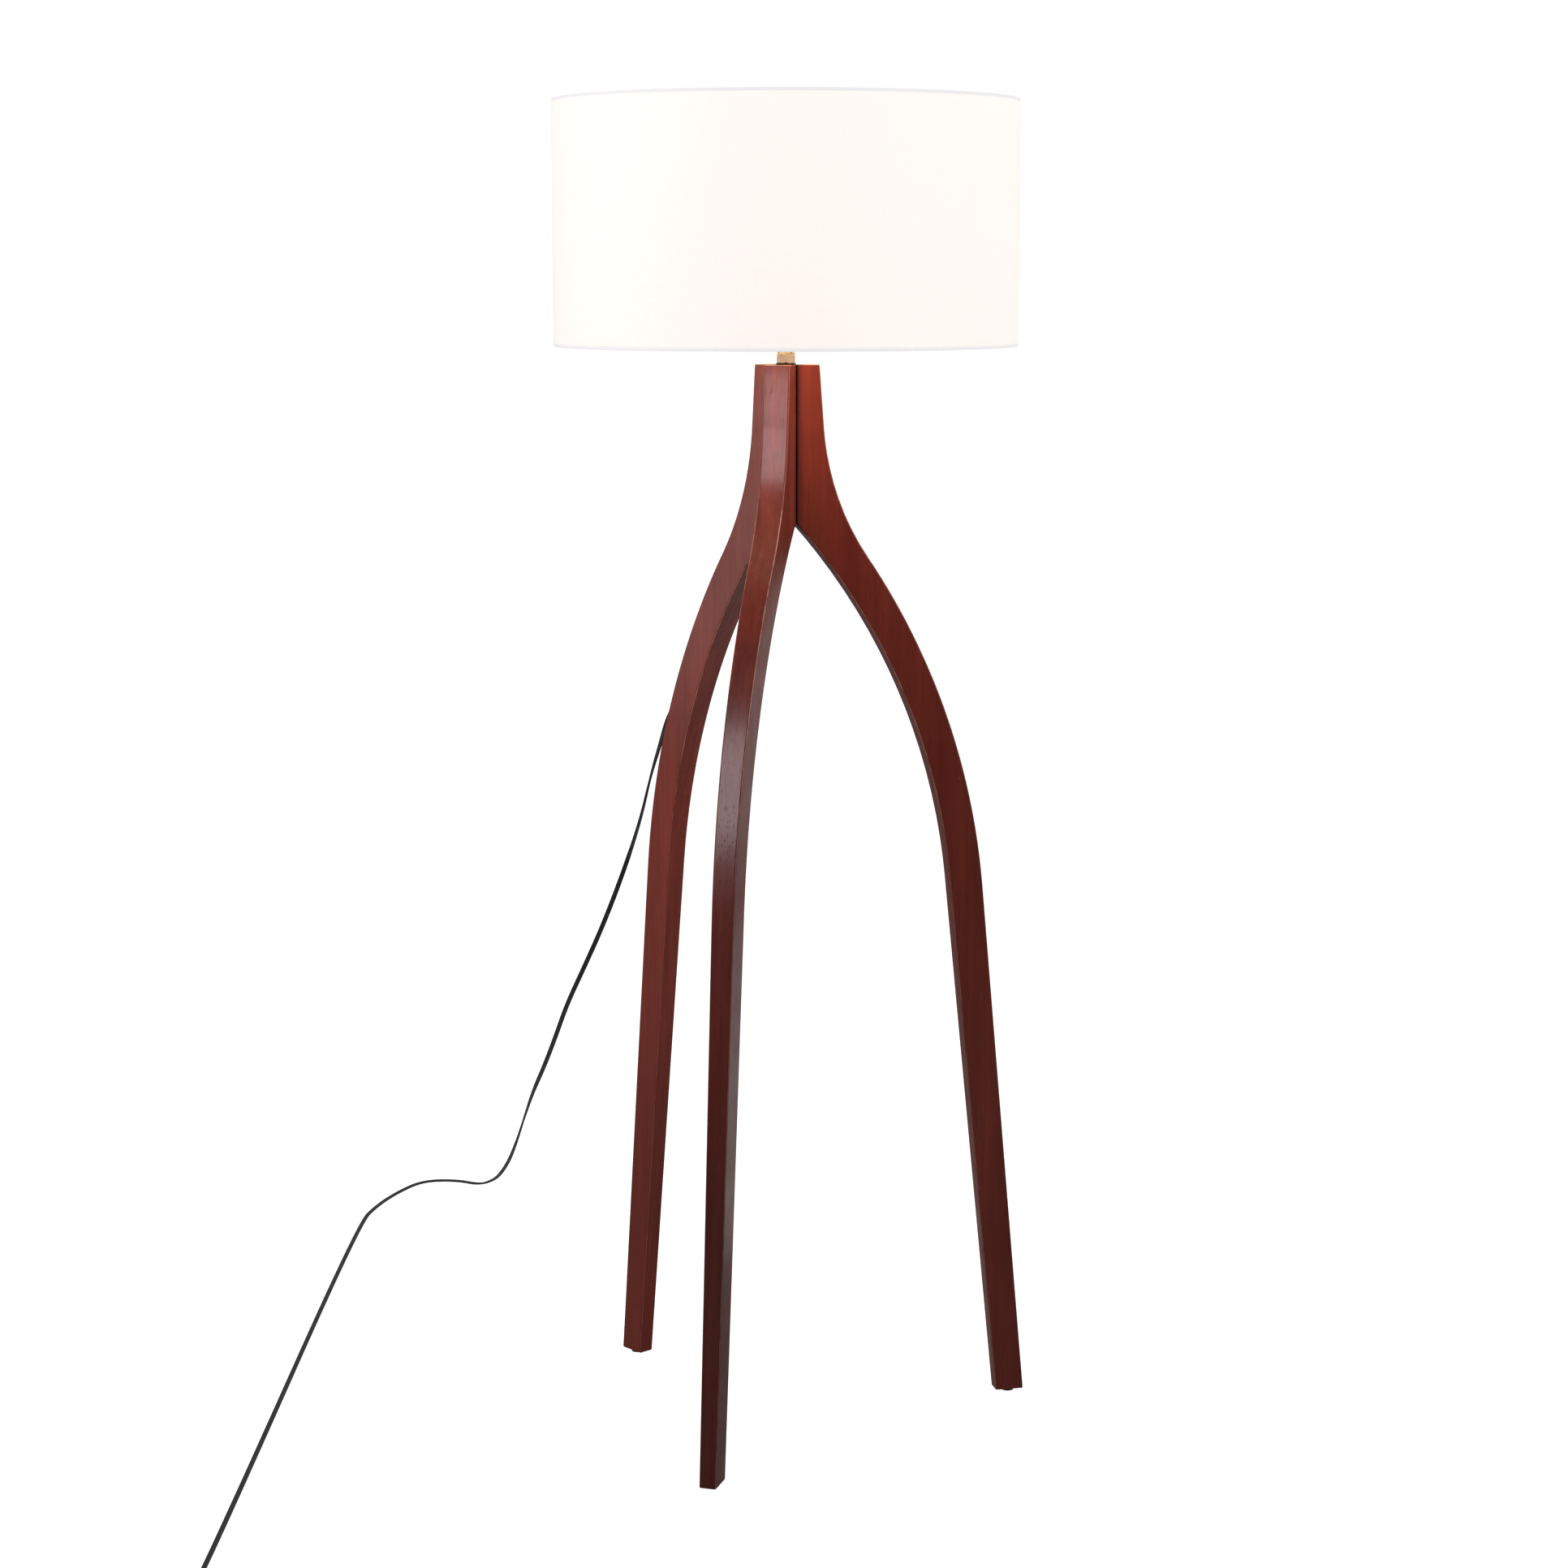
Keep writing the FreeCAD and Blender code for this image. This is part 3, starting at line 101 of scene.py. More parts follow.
TAIL_DROP = 0.012  # along the tail, where it has come down to the plug's height
TAIL_INSIDE = 0.004  # how far the cord goes on inside the plug
SECTION_SCALE = 1000  # the section is drawn this much too large


def add_object(name, data):
    made = bpy.data.objects.new(name, data)
    bpy.context.scene.collection.objects.link(made)
    return made


def polar(radius, angle, height=0.0):
    return Vector((radius * math.cos(angle), radius * math.sin(angle), height))


# ------------------------------------------------------------------ camera


def make_camera():
    """The photograph's camera, from its place, heading and downward pitch."""
    data = bpy.data.cameras.new("camera")
    data.lens = LENS_MM
    data.sensor_width = 36
    camera = add_object("camera", data)
    camera.location = CAMERA_PLACE
    level = Vector((-math.sin(CAMERA_HEADING), math.cos(CAMERA_HEADING), 0))
    forward = level * math.cos(CAMERA_PITCH) - Vector((0, 0, math.sin(CAMERA_PITCH)))
    camera.rotation_mode = "QUATERNION"
    camera.rotation_quaternion = forward.to_track_quat("-Z", "Y")
    bpy.context.scene.camera = camera


make_camera()


# ------------------------------------------------------------------ cord


def twin_profile():
    """The cord's section: two round cores side by side with a groove between.

    It is drawn larger by SECTION_SCALE, and the radius of the cord's points brings
    it back to size, because a curve's bounds take in its points' radius.
    """
    data = bpy.data.curves.new("cord_section", "CURVE")
    data.dimensions = "2D"
    offset = CORD_WIDTH / 2 - CORD_LOBE
    points = []
    for side in (1, -1):
        for k in range(LOBE_STEPS):
            angle = LOBE_SWEEP * (2 * k / (LOBE_STEPS - 1) - 1)
            x = offset + CORD_LOBE * math.cos(angle)
            y = CORD_LOBE * math.sin(angle)
            points.append((side * x, side * y))
    spline = data.splines.new("POLY")
    spline.points.add(len(points) - 1)
    for point, (x, y) in zip(spline.points, points):
        point.co = (x * SECTION_SCALE, y * SECTION_SCALE, 0, 1)
    spline.use_cyclic_u = True
    profile = add_object("cord_section", data)
    profile.hide_render = True
    return profile


def coil_points():
    """The coil's turns, one on the other, and the end that leads into the plug."""
    centre = Vector((*COIL_CENTRE, 0))
    count = round(COIL_TURNS * COIL_STEPS)
    points = []
    for k in range(count + 1):
        angle = COIL_START + 2 * math.pi * k / COIL_STEPS
        height = CORD_HEIGHT + COIL_PITCH * k / COIL_STEPS
        points.append(centre + polar(COIL_RADIUS, angle, height))
    heading = polar(1, angle + math.pi / 2)
    last = points[-1]
    for along in (TAIL_DROP, TAIL_LENGTH, TAIL_LENGTH + TAIL_INSIDE):
        point = last + heading * along
        point.z = PLUG_HEIGHT
        points.append(point)
    return points, heading


def make_cord():
    """One spline from the leg to the plug: the listed route, then the coil."""
    data = bpy.data.curves.new("lamp_cord", "CURVE")
    data.dimensions = "3D"
    points = [(Vector(p[:3]), math.radians(p[3])) for p in CORD_ROUTE]
    points += [(p, 0.0) for p in coil_points()[0]]
    spline = data.splines.new("NURBS")
    spline.points.add(len(points) - 1)
    for target, (place, twist) in zip(spline.points, points):
        target.co = (*place, 1)
        target.tilt = twist
        target.radius = 1 / SECTION_SCALE
    spline.order_u = 3
    spline.use_endpoint_u = True
    spline.resolution_u = 16
    spline.use_smooth = True
    data.twist_mode = "Z_UP"
    data.bevel_mode = "OBJECT"
    data.bevel_object = twin_profile()
    data.use_fill_caps = True
    cord = add_object("lamp_cord", data)
    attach(cord, "stand")
    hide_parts("cord", "cord_coil", "cord_tail")
    return cord


# Along the plug from the relief's tip to its face: place, half width, half height
# and how square the section is (2 is round).
PLUG_SECTIONS = [
    (0.0000, 0.0032, 0.0030, 2.0),
    (0.0180, 0.0044, 0.0042, 2.0),
    (0.0215, 0.0060, 0.0053, 2.2),
    (0.0250, 0.0088, 0.0066, 2.6),
    (0.0290, 0.0103, 0.0074, 3.0),
    (0.0340, 0.0101, 0.0072, 3.2),
    (0.0400, 0.0100, 0.0072, 3.4),
    (0.0440, 0.0107, 0.0077, 3.6),
    (0.0474, 0.0109, 0.0078, 3.6),
    (0.0480, 0.0103, 0.0072, 3.6),
]
RELIEF_RIBS = 6
RELIEF_RIB = 0.0007
RELIEF_PLAIN = 0.003  # the ribs fade in over this length
GRIP_FROM, GRIP_TO = 0.031, 0.042
GRIP_RIDGES = 5
GRIP_RIDGE = 0.00035
PLUG_CORNERS = 48
PLUG_ROWS = 160


def plug_section(along):
    """Half width, half height and squareness at a distance from the tip."""
    for low, high in zip(PLUG_SECTIONS, PLUG_SECTIONS[1:]):
        if along <= high[0]:
            break
    part = (along - low[0]) / (high[0] - low[0])
    part = part * part * (3 - 2 * part)
    wide, tall, square = (a + (b - a) * part for a, b in zip(low[1:], high[1:]))
    relief = PLUG_SECTIONS[1][0]
    if along < relief:
        groove = math.sin(math.pi * RELIEF_RIBS * along / relief) ** 2
        deep = RELIEF_RIB * groove * min(1, along / RELIEF_PLAIN)
        wide, tall = wide - deep, tall - deep
    if GRIP_FROM < along < GRIP_TO:
        phase = (along - GRIP_FROM) / (GRIP_TO - GRIP_FROM)
        wide -= GRIP_RIDGE * math.sin(math.pi * GRIP_RIDGES * phase) ** 2
    return wide, tall, square


def make_plug():
    """A moulded two-blade plug with a ribbed, tapered strain relief."""
    turns, heading = coil_points()
    start = turns[-2]
    side = Vector((-heading.y, heading.x, 0))
    corners = []
    length = PLUG_SECTIONS[-1][0]
    for row in range(PLUG_ROWS + 1):
        along = length * row / PLUG_ROWS
        wide, tall, square = plug_section(along)
        for k in range(PLUG_CORNERS):
            angle = 2 * math.pi * k / PLUG_CORNERS
            c, s = math.cos(angle), math.sin(angle)
            x = math.copysign(abs(c) ** (2 / square), c) * wide
            z = math.copysign(abs(s) ** (2 / square), s) * tall
            corners.append(start + heading * along + side * x + Vector((0, 0, z)))
    faces = []
    for row in range(PLUG_ROWS):
        for k in range(PLUG_CORNERS):
            a, b = row * PLUG_CORNERS + k, row * PLUG_CORNERS + (k + 1) % PLUG_CORNERS
            faces.append((b, a, a + PLUG_CORNERS, b + PLUG_CORNERS))
    last = PLUG_ROWS * PLUG_CORNERS
    faces.append(tuple(range(PLUG_CORNERS)))
    faces.append(tuple(last + k for k in reversed(range(PLUG_CORNERS))))
    mesh = bpy.data.meshes.new("mains_plug")
    mesh.from_pydata(corners, [], faces)
    mesh.polygons.foreach_set("use_smooth", [len(face) == 4 for face in faces])
    piece = add_object("mains_plug", mesh)
    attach(piece, "stand")
    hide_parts("plug_body")
    return piece


cord = make_cord()
plug = make_plug()


# ------------------------------------------------------------------ procedural looks


NOISE_MIDDLE = (0.3, 0.7)
# Places of the Map Range and Mix nodes' sockets, which share names between data types.
RANGE_SOCKETS = (0, 1, 2, 3, 4)
MIX_FACTOR, MIX_A, MIX_B, MIX_RESULT = 0, 6, 7, 2


class Look:
    """A node-based material: a Principled shader and the helpers that feed it."""

    def __init__(self, name, **shader):
        self.material = bpy.data.materials.new(name)
        self.material.use_nodes = True
        self.tree = self.material.node_tree
        self.tree.nodes.clear()
        output = self.tree.nodes.new("ShaderNodeOutputMaterial")
        self.shader = self.tree.nodes.new("ShaderNodeBsdfPrincipled")
        self.tree.links.new(self.shader.outputs["BSDF"], output.inputs["Surface"])
        self.place = self.tree.nodes.new("ShaderNodeTexCoord").outputs["Object"]
        self.set(**shader)

    def set(self, **shader):
        for key, value in shader.items():
            self.put(self.shader.inputs[key.replace("_", " ")], value)

    def put(self, socket, value):
        if isinstance(value, bpy.types.NodeSocket):
            self.tree.links.new(value, socket)
        elif isinstance(value, tuple) and len(value) == 3 and socket.type == "RGBA":
            socket.default_value = (*value, 1)
        else:
            socket.default_value = value

    def node(self, kind, inputs, output=0, **settings):
        made = self.tree.nodes.new(kind)
        for key, value in settings.items():
            setattr(made, key, value)
        for key, value in inputs.items():
            self.put(made.inputs[key], value)
        return made.outputs[output]

    def moved(self, vector, scale=(1, 1, 1), turn=0.0, shift=(0, 0, 0)):
        inputs = {
            "Vector": vector,
            "Scale": scale,
            "Rotation": (0, 0, turn),
            "Location": shift,
        }
        return self.node("ShaderNodeMapping", inputs)

    def noise(self, scale, vector=None, detail=3.0, roughness=0.5, distortion=0.0):
        inputs = {
            "Vector": vector or self.place,
            "Scale": scale,
            "Detail": detail,
            "Roughness": roughness,
            "Distortion": distortion,
        }
        return self.node("ShaderNodeTexNoise", inputs)

    def cells(self, scale, vector=None):
        inputs = {"Vector": vector or self.place, "Scale": scale}
        return self.node("ShaderNodeTexVoronoi", inputs)

    def stretched(self, scale, vector, detail=3.0, roughness=0.5, distortion=0.0):
        """Noise with a scale of its own along each axis."""
        return self.noise(1.0, self.moved(vector, scale), detail, roughness, distortion)

    def math(self, operation, a, b=0.0):
        return self.node("ShaderNodeMath", {0: a, 1: b}, operation=operation)

    def remap(self, value, low, high, to_low=0.0, to_high=1.0):
        inputs = zip(RANGE_SOCKETS, (value, low, high, to_low, to_high))
        return self.node("ShaderNodeMapRange", dict(inputs))

    def spread(self, noise, to_low=0.0, to_high=1.0):
        """The middle of a noise, where nearly all of it lies, over the whole range."""
        return self.remap(noise, *NOISE_MIDDLE, to_low, to_high)

    def mix(self, factor, a, b, blend="MIX"):
        return self.node(
            "ShaderNodeMix",
            {MIX_FACTOR: factor, MIX_A: a, MIX_B: b},
            output=MIX_RESULT,
            data_type="RGBA",
            blend_type=blend,
        )

    def bump(self, height, distance, strength):
        inputs = {"Height": height, "Distance": distance, "Strength": strength}
        return self.node("ShaderNodeBump", inputs)

    def axes(self, vector=None):
        made = self.tree.nodes.new("ShaderNodeSeparateXYZ")
        self.put(made.inputs[0], vector or self.place)
        return made.outputs


# The wood's colours, from the stain itself to the painted highlight on its edges and the
# painted glow on its top.
WOOD_DARK = (0.095, 0.0125, 0.0075)
WOOD_LIGHT = (0.165, 0.0270, 0.0150)
WOOD_STREAK = (0.062, 0.0080, 0.0050)
WOOD_RED = (0.140, 0.0190, 0.0110)
WOOD_PORE_AND_SHADE = (0.030, 0.0050, 0.0040)
WOOD_FLECK = (0.260, 0.120, 0.075)
WOOD_EDGE_SHINE_AND_WEAR = (0.480, 0.270, 0.210)
WOOD_END_GRAIN_LIT = (0.560, 0.230, 0.075)
GRAIN_DEPTH = 0.0002
WOOD_COAT = 0.32
WOOD_GLOSS = 0.20
WOOD_SPECULAR = 0.12
# The glued seams get a painted black shadow line inside the first radius, and painted
# shade out to the next.
SEAM_BLACK = (0.006, 0.003, 0.003)
SEAM_LINE = 0.0006
SEAM_RADIUS = 0.0171
SEAM_SHADE = 0.0215
SEAM_FADE = 0.004
# The edges get their painted highlight, with some wear, most between these heights, and
# less past them.
EDGE_SHINE_LOW = (0.60, 0.74)
EDGE_SHINE_HIGH = (0.96, 1.03)
# Bare end grain in painted bulb light shows only above these heights, where boards end.
COLUMN_TOP = (1.00, 1.01)
# Heights where a board's painted light and shade goes from its foot's to its knee's, and
# on to its end's.
FOOT_TO_KNEE = (0.2, 0.6)
KNEE_TO_END = (0.8, 1.05)
# Each board's azimuth, and its painted light and shade at its foot, knee and upper end.
BOARDS = {
    "leg_front": (-90, (0.62, 1.05, 1.05)),
    "leg_right": (30, (0.98, 1.08, 1.46)),
    "leg_left": (150, (1.35, 1.75, 1.00)),
}
SEED_STEP = 1.7  # how far apart in the noise the boards' grains are


def stained(look, board, streak, pore, fleck):
    """The stain over figure, growth rings, pores and rare pale flecks."""
    figure = look.stretched((26, 55, 1.6), board, 3, 0.5, 0.9)
    rings = look.node(
        "ShaderNodeTexWave",
        {
            "Vector": look.moved(board, (1, 1, 0.035)),
            "Scale": 38.0,
            "Distortion": 5.0,
            "Detail": 2.0,
            "Detail Scale": 9.0,
            "Detail Roughness": 0.55,
        },
        output="Fac",
        bands_direction="Y",
    )
    cloud = look.noise(9.0, board, 2)
    colour = look.mix(look.spread(figure), WOOD_DARK, WOOD_LIGHT)
    colour = look.mix(look.remap(streak, 0.36, 0.66, 0, 0.34), colour, WOOD_STREAK)
    colour = look.mix(look.remap(rings, 0.25, 1.0, 0, 0.22), colour, WOOD_STREAK)
    colour = look.mix(look.remap(cloud, 0.35, 0.7, 0, 0.3), colour, WOOD_RED)
    colour = look.mix(look.math("MULTIPLY", pore, 0.55), colour, WOOD_PORE_AND_SHADE)
    return look.mix(look.math("MULTIPLY", fleck, 0.5), colour, WOOD_FLECK)


def edge_shine_and_wear(look, board, across, axle, z):
    """1 where a board's eased edges get a painted highlight and some wear, and 0 on its
    flat sides.
    """
    across = look.math("ABSOLUTE", across)
    leaves_side = look.remap(across, 0.45, 0.6)
    reaches_side = look.remap(across, 0.93, 0.8)
    edge_shine = look.math("MULTIPLY", leaves_side, reaches_side)
    off_seam = look.remap(axle, SEAM_SHADE, SEAM_SHADE + SEAM_FADE)
    edge_shine = look.math("MULTIPLY", edge_shine, off_seam)
    patchy = look.stretched((70, 70, 28), board, 4, 0.7)
    edge_shine = look.math("MULTIPLY", edge_shine, look.remap(patchy, 0.36, 0.56, 0.25, 1.0))
    above = look.remap(z, *EDGE_SHINE_LOW, 0.3, 1)
    below = look.remap(z, *reversed(EDGE_SHINE_HIGH), 0.2, 1)
    return look.math("MULTIPLY", edge_shine, look.math("MULTIPLY", above, below))


def lacquered_wood(name, azimuth, seed, painted_light_levels):
    """Mahogany stain under a satin-gloss lacquer, with the grain up the board."""
    look = Look(name, Metallic=0.0, IOR=1.45, Coat_Weight=WOOD_COAT, Coat_IOR=1.5)
    board = look.moved(look.place, turn=-math.radians(azimuth))
    board = look.moved(board, shift=(seed, 2 * seed, 3 * seed))
    x, y, z = look.axes()
    squares = look.math("ADD", look.math("MULTIPLY", x, x), look.math("MULTIPLY", y, y))
    axle = look.math("SQRT", squares)

    streak = look.stretched((190, 190, 3.2), board, 5, 0.62, 0.15)
    pore = look.stretched((900, 900, 26), board, 2, 0.5)
    pore = look.remap(pore, 0.64, 0.74)
    fleck = look.cells(46.0, look.moved(board, (1, 1, 0.5)))
    fleck = look.remap(fleck, 0.035, 0.075, 1, 0)
    rare = look.remap(look.noise(7.0, board, 0), 0.60, 0.66)
    fleck = look.math("MULTIPLY", fleck, rare)

    foot, knee, end = painted_light_levels
    # Painted light and shade: the colour scaled by height, differently on each board.
    painted_light_level = look.remap(z, *FOOT_TO_KNEE, foot, knee)
    painted_light_level = look.math("ADD", painted_light_level, look.remap(z, *KNEE_TO_END, 0, end - knee))
    colour = stained(look, board, streak, pore, fleck)
    colour = look.mix(1.0, colour, painted_light_level, "MULTIPLY")
    normal = look.node("ShaderNodeTexCoord", {}, output="Normal")
    across, up = look.axes(look.moved(normal, turn=-math.radians(azimuth)))[1:]
    # A painted highlight along the eased edges, with some wear.
    colour = look.mix(edge_shine_and_wear(look, board, across, axle, z), colour, WOOD_EDGE_SHINE_AND_WEAR)
    # The top faces' end grain, painted bright orange as light from the bulb above.
    end_grain_lit = look.remap(up, 0.85, 0.95)
    end_grain_lit = look.math("MULTIPLY", end_grain_lit, look.remap(z, *COLUMN_TOP))
    colour = look.mix(end_grain_lit, colour, WOOD_END_GRAIN_LIT)
    # Painted shade on the faces near the seams, in the pores' colour.
    painted_seam_shade = look.remap(axle, SEAM_RADIUS, SEAM_SHADE, 0.6, 0)
    colour = look.mix(painted_seam_shade, colour, WOOD_PORE_AND_SHADE)
    # A painted black shadow line in the seams' gap.
    seam = look.remap(axle, SEAM_RADIUS - SEAM_LINE, SEAM_RADIUS, 1, 0)
    colour = look.mix(seam, colour, SEAM_BLACK)

    rough = look.spread(look.noise(40.0, board, 3), 0.34, 0.46)
    rough = look.math("ADD", rough, look.math("MULTIPLY", pore, 0.15))
    grain = look.math("MULTIPLY", streak, 0.6)
    grain = look.math("SUBTRACT", grain, look.math("MULTIPLY", pore, 0.5))
    grain = look.math("SUBTRACT", grain, look.math("MULTIPLY", fleck, 0.6))
    wave = look.stretched((150, 150, 30), board, 2, 0.4)
    coat = look.math("ADD", look.math("MULTIPLY", wave, 0.8), grain)
    look.set(
        Base_Color=colour,
        Roughness=rough,
        Normal=look.bump(grain, GRAIN_DEPTH, 0.5),
        Coat_Normal=look.bump(coat, GRAIN_DEPTH, 0.45),
    )
    look.shader.inputs["Coat Roughness"].default_value = WOOD_GLOSS
    look.shader.inputs["Specular IOR Level"].default_value = WOOD_SPECULAR
    return look.material


def plain_wood():
    """Unfinished beech: fibres along the dowels, and short rays across them."""
    look = Look("plain_wood", Roughness=0.7)
    fibre = look.stretched((60, 60, 500), look.place, 4)
    ray = look.cells(1.0, look.moved(look.place, (900, 900, 250)))
    colour = look.mix(look.spread(fibre), (0.60, 0.40, 0.23), (0.70, 0.50, 0.31))
    colour = look.mix(look.remap(ray, 0.1, 0.35, 0.5, 0), colour, (0.40, 0.24, 0.13))
    look.set(Base_Color=colour, Normal=look.bump(fibre, 0.0001, 0.4))
    return look.material


def metal(name, colour, stain, rough, brushed, scratch=0.5, tarnished=0.55):
    """Turned or drawn metal: fine lines round the vertical, thin tarnish, scratches."""
    look = Look(name, Metallic=1.0)
    lines = look.stretched((18, 18, 2600), look.place, 2, 0.6)
    tarnish = look.noise(95.0, detail=5, roughness=0.65, distortion=0.4)
    smear = look.noise(28.0, detail=3)
    body = look.mix(look.remap(tarnish, 0.45, 0.75, 0, tarnished), colour, stain)
    body = look.mix(look.remap(lines, 0.35, 0.65, 0, 0.12), body, stain)
    wear = look.noise(1.0, look.moved(look.place, (1500, 240, 240), 0.6), 1)
    wear = look.remap(wear, 0.66, 0.72)
    roughness = look.spread(smear, *rough)
    roughness = look.math("ADD", roughness, look.math("MULTIPLY", wear, 0.12))
    height = look.math("MULTIPLY", lines, brushed)
    height = look.math("SUBTRACT", height, look.math("MULTIPLY", wear, scratch))
    look.set(Base_Color=body, Roughness=roughness, Normal=look.bump(height, 0.00006, 0.5))
    return look.material


def plated(name, colour, stain):
    """Zinc plate: a faint crystalline spangle in a grey, slightly blue coat."""
    look = Look(name, Metallic=1.0)
    inputs = {"Vector": look.place, "Scale": 420.0}
    crystals = look.node("ShaderNodeTexVoronoi", inputs, output="Color")
    spangle = look.axes(crystals)[0]
    cloud = look.noise(140.0, detail=4)
    body = look.mix(look.remap(cloud, 0.35, 0.7, 0, 0.7), colour, stain)
    body = look.mix(look.math("MULTIPLY", spangle, 0.25), body, (0.80, 0.82, 0.86))
    roughness = look.remap(spangle, 0.0, 1.0, 0.30, 0.46)
    look.set(Base_Color=body, Roughness=roughness, Normal=look.bump(cloud, 0.00005, 0.5))
    return look.material


def moulded(name, low, high, rough):
    """Moulded plastic, rubber or glass: a fine texture, flow marks and dust."""
    look = Look(name)
    fine = look.noise(900.0, detail=2, roughness=0.6)
    flow = look.noise(60.0, detail=4, distortion=1.2)
    dust = look.remap(look.noise(1700.0, detail=1), 0.66, 0.74)
    body = look.mix(look.spread(flow), low, high)
    body = look.mix(look.math("MULTIPLY", dust, 0.10), body, (0.32, 0.31, 0.30))
    roughness = look.spread(flow, *rough)
    roughness = look.math("ADD", roughness, look.math("MULTIPLY", dust, 0.2))
    height = look.math("ADD", fine, look.math("MULTIPLY", dust, 0.4))
    look.set(Base_Color=body, Roughness=roughness, Normal=look.bump(height, 0.00005, 0.5))
    return look.material


def enamel():
    """White stoved enamel on wire: slight runs, a few chips down to the steel."""
    look = Look("white_wire")
    run = look.noise(120.0, detail=3)
    chip = look.remap(look.cells(210.0), 0.03, 0.06, 1, 0)
    rare = look.remap(look.noise(30.0, detail=0), 0.60, 0.66)
    chip = look.math("MULTIPLY", chip, rare)
    body = look.mix(look.spread(run), (0.80, 0.79, 0.76), (0.88, 0.88, 0.86))
    body = look.mix(chip, body, (0.20, 0.17, 0.15))
    roughness = look.spread(run, 0.25, 0.38)
    height = look.math("SUBTRACT", run, chip)
    look.set(Base_Color=body, Roughness=roughness, Normal=look.bump(height, 0.0001, 0.5))
    return look.material


def card():
    """Insulating card: matted fibres, blotched with age."""
    look = Look("card", Roughness=0.9)
    fibre = look.stretched((500, 500, 1600), look.place, 5, 0.7)
    blot = look.noise(70.0, detail=3)
    body = look.mix(look.spread(fibre), (0.46, 0.34, 0.21), (0.62, 0.49, 0.33))
    body = look.mix(look.remap(blot, 0.4, 0.7, 0, 0.3), body, (0.36, 0.25, 0.15))
    look.set(Base_Color=body, Normal=look.bump(fibre, 0.0001, 0.6))
    return look.material


BULB_CORE = (1.0, 0.86, 0.66)
BULB_EDGE = (1.0, 0.78, 0.54)
BULB_POWER = 60.0
BULB_REACH = 0.032  # from the bulb's middle to where its glow has its edge colour


def bulb_glow():
    """Frosted glass of a lit bulb, brightest at its middle."""
    look = Look("frosted_glass", Base_Color=(0.95, 0.93, 0.9))
    z = look.axes()[2]
    middle = sum(corner.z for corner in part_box("bulb_glass")) / 2
    off = look.math("ABSOLUTE", look.math("SUBTRACT", z, middle))
    frost = look.noise(900.0, detail=2)
    colour = look.mix(look.remap(off, 0.0, BULB_REACH), BULB_CORE, BULB_EDGE)
    look.set(
        Roughness=look.spread(frost, 0.45, 0.6),
        Emission_Color=colour,
        Normal=look.bump(frost, 0.00004, 0.4),
    )
    look.shader.inputs["Emission Strength"].default_value = BULB_POWER
    return look.material


SHADE_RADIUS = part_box("shade_fabric")[1].x
THREAD_GAP = 0.00062
THREAD_DEPTH = 0.00012
HEM_SEEN = 0.0036  # height of the stripe where the turned hem shows
HEM_BLUR = 0.0006
CLOTH_DARK = (0.33, 0.322, 0.312)
CLOTH_LIGHT = (0.39, 0.384, 0.375)
# The glow is emission painted on the cloth for the bulb's light coming through it, darker
# over the hems.
GLOW_LOW = (0.785, 0.735, 0.695)
GLOW_HIGH = (0.835, 0.780, 0.735)
GLOW_CLOUD = (0.81, 0.76, 0.72)
GLOW_THREAD = (0.62, 0.57, 0.52)
GLOW_HEM = (0.64, 0.64, 0.655)


def cloth():
    """Fine plain weave in warm white, with a painted glow for the bulb's light from
    inside.
    """
    look = Look("shade_cloth")
    x, y, z = look.axes()
    around = look.math("MULTIPLY", look.math("ARCTAN2", y, x), SHADE_RADIUS)
    per_metre = 2 * math.pi / THREAD_GAP
    warp = look.math("SINE", look.math("MULTIPLY", around, per_metre))
    weft = look.math("SINE", look.math("MULTIPLY", z, per_metre))
    weave = look.math("MULTIPLY", warp, weft)
    unrolled = look.node("ShaderNodeCombineXYZ", {0: around, 1: z, 2: 0.0})
    slub_up = look.stretched((1400, 35, 1), unrolled, 2, 0.6)
    slub_round = look.stretched((35, 1400, 1), unrolled, 2, 0.6)
    slub = look.math("ADD", slub_up, slub_round)
    cloud = look.stretched((7, 7, 1), unrolled, 3)
    height = look.math("ADD", look.math("MULTIPLY", weave, 0.35), slub)
    body = look.mix(look.remap(slub, 0.7, 1.3), CLOTH_DARK, CLOTH_LIGHT)
    low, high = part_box("shade_fabric")
    rise = look.remap(z, low.z, high.z)
    glow = look.mix(rise, GLOW_LOW, GLOW_HIGH)
    glow = look.mix(look.spread(cloud, 0, 0.5), glow, GLOW_CLOUD)
    glow = look.mix(look.remap(slub, 0.75, 1.25, 0.05, 0), glow, GLOW_THREAD)
    up = look.math("SUBTRACT", z, low.z)
    down = look.math("SUBTRACT", high.z, z)
    edge = look.math("MINIMUM", up, down)
    hem = look.remap(edge, HEM_SEEN - HEM_BLUR, HEM_SEEN + HEM_BLUR, 1, 0)
    glow = look.mix(hem, glow, GLOW_HEM)
    look.set(
        Base_Color=body,
        Roughness=0.92,
        Sheen_Weight=0.25,
        Emission_Color=glow,
        Normal=look.bump(height, THREAD_DEPTH, 0.5),
    )
    look.shader.inputs["Sheen Roughness"].default_value = 0.5
    look.shader.inputs["Emission Strength"].default_value = 1.0
    return look.material


def styrene():
    """The shade's white backing sheet, faintly mottled."""
    look = Look("shade_backing")
    mottle = look.noise(45.0, detail=4)
    pit = look.noise(700.0, detail=2)
    body = look.mix(look.spread(mottle), (0.86, 0.84, 0.80), (0.92, 0.91, 0.88))
    look.set(
        Base_Color=body,
        Roughness=look.spread(mottle, 0.42, 0.55),
        Normal=look.bump(pit, 0.00006, 0.5),
    )
    return look.material


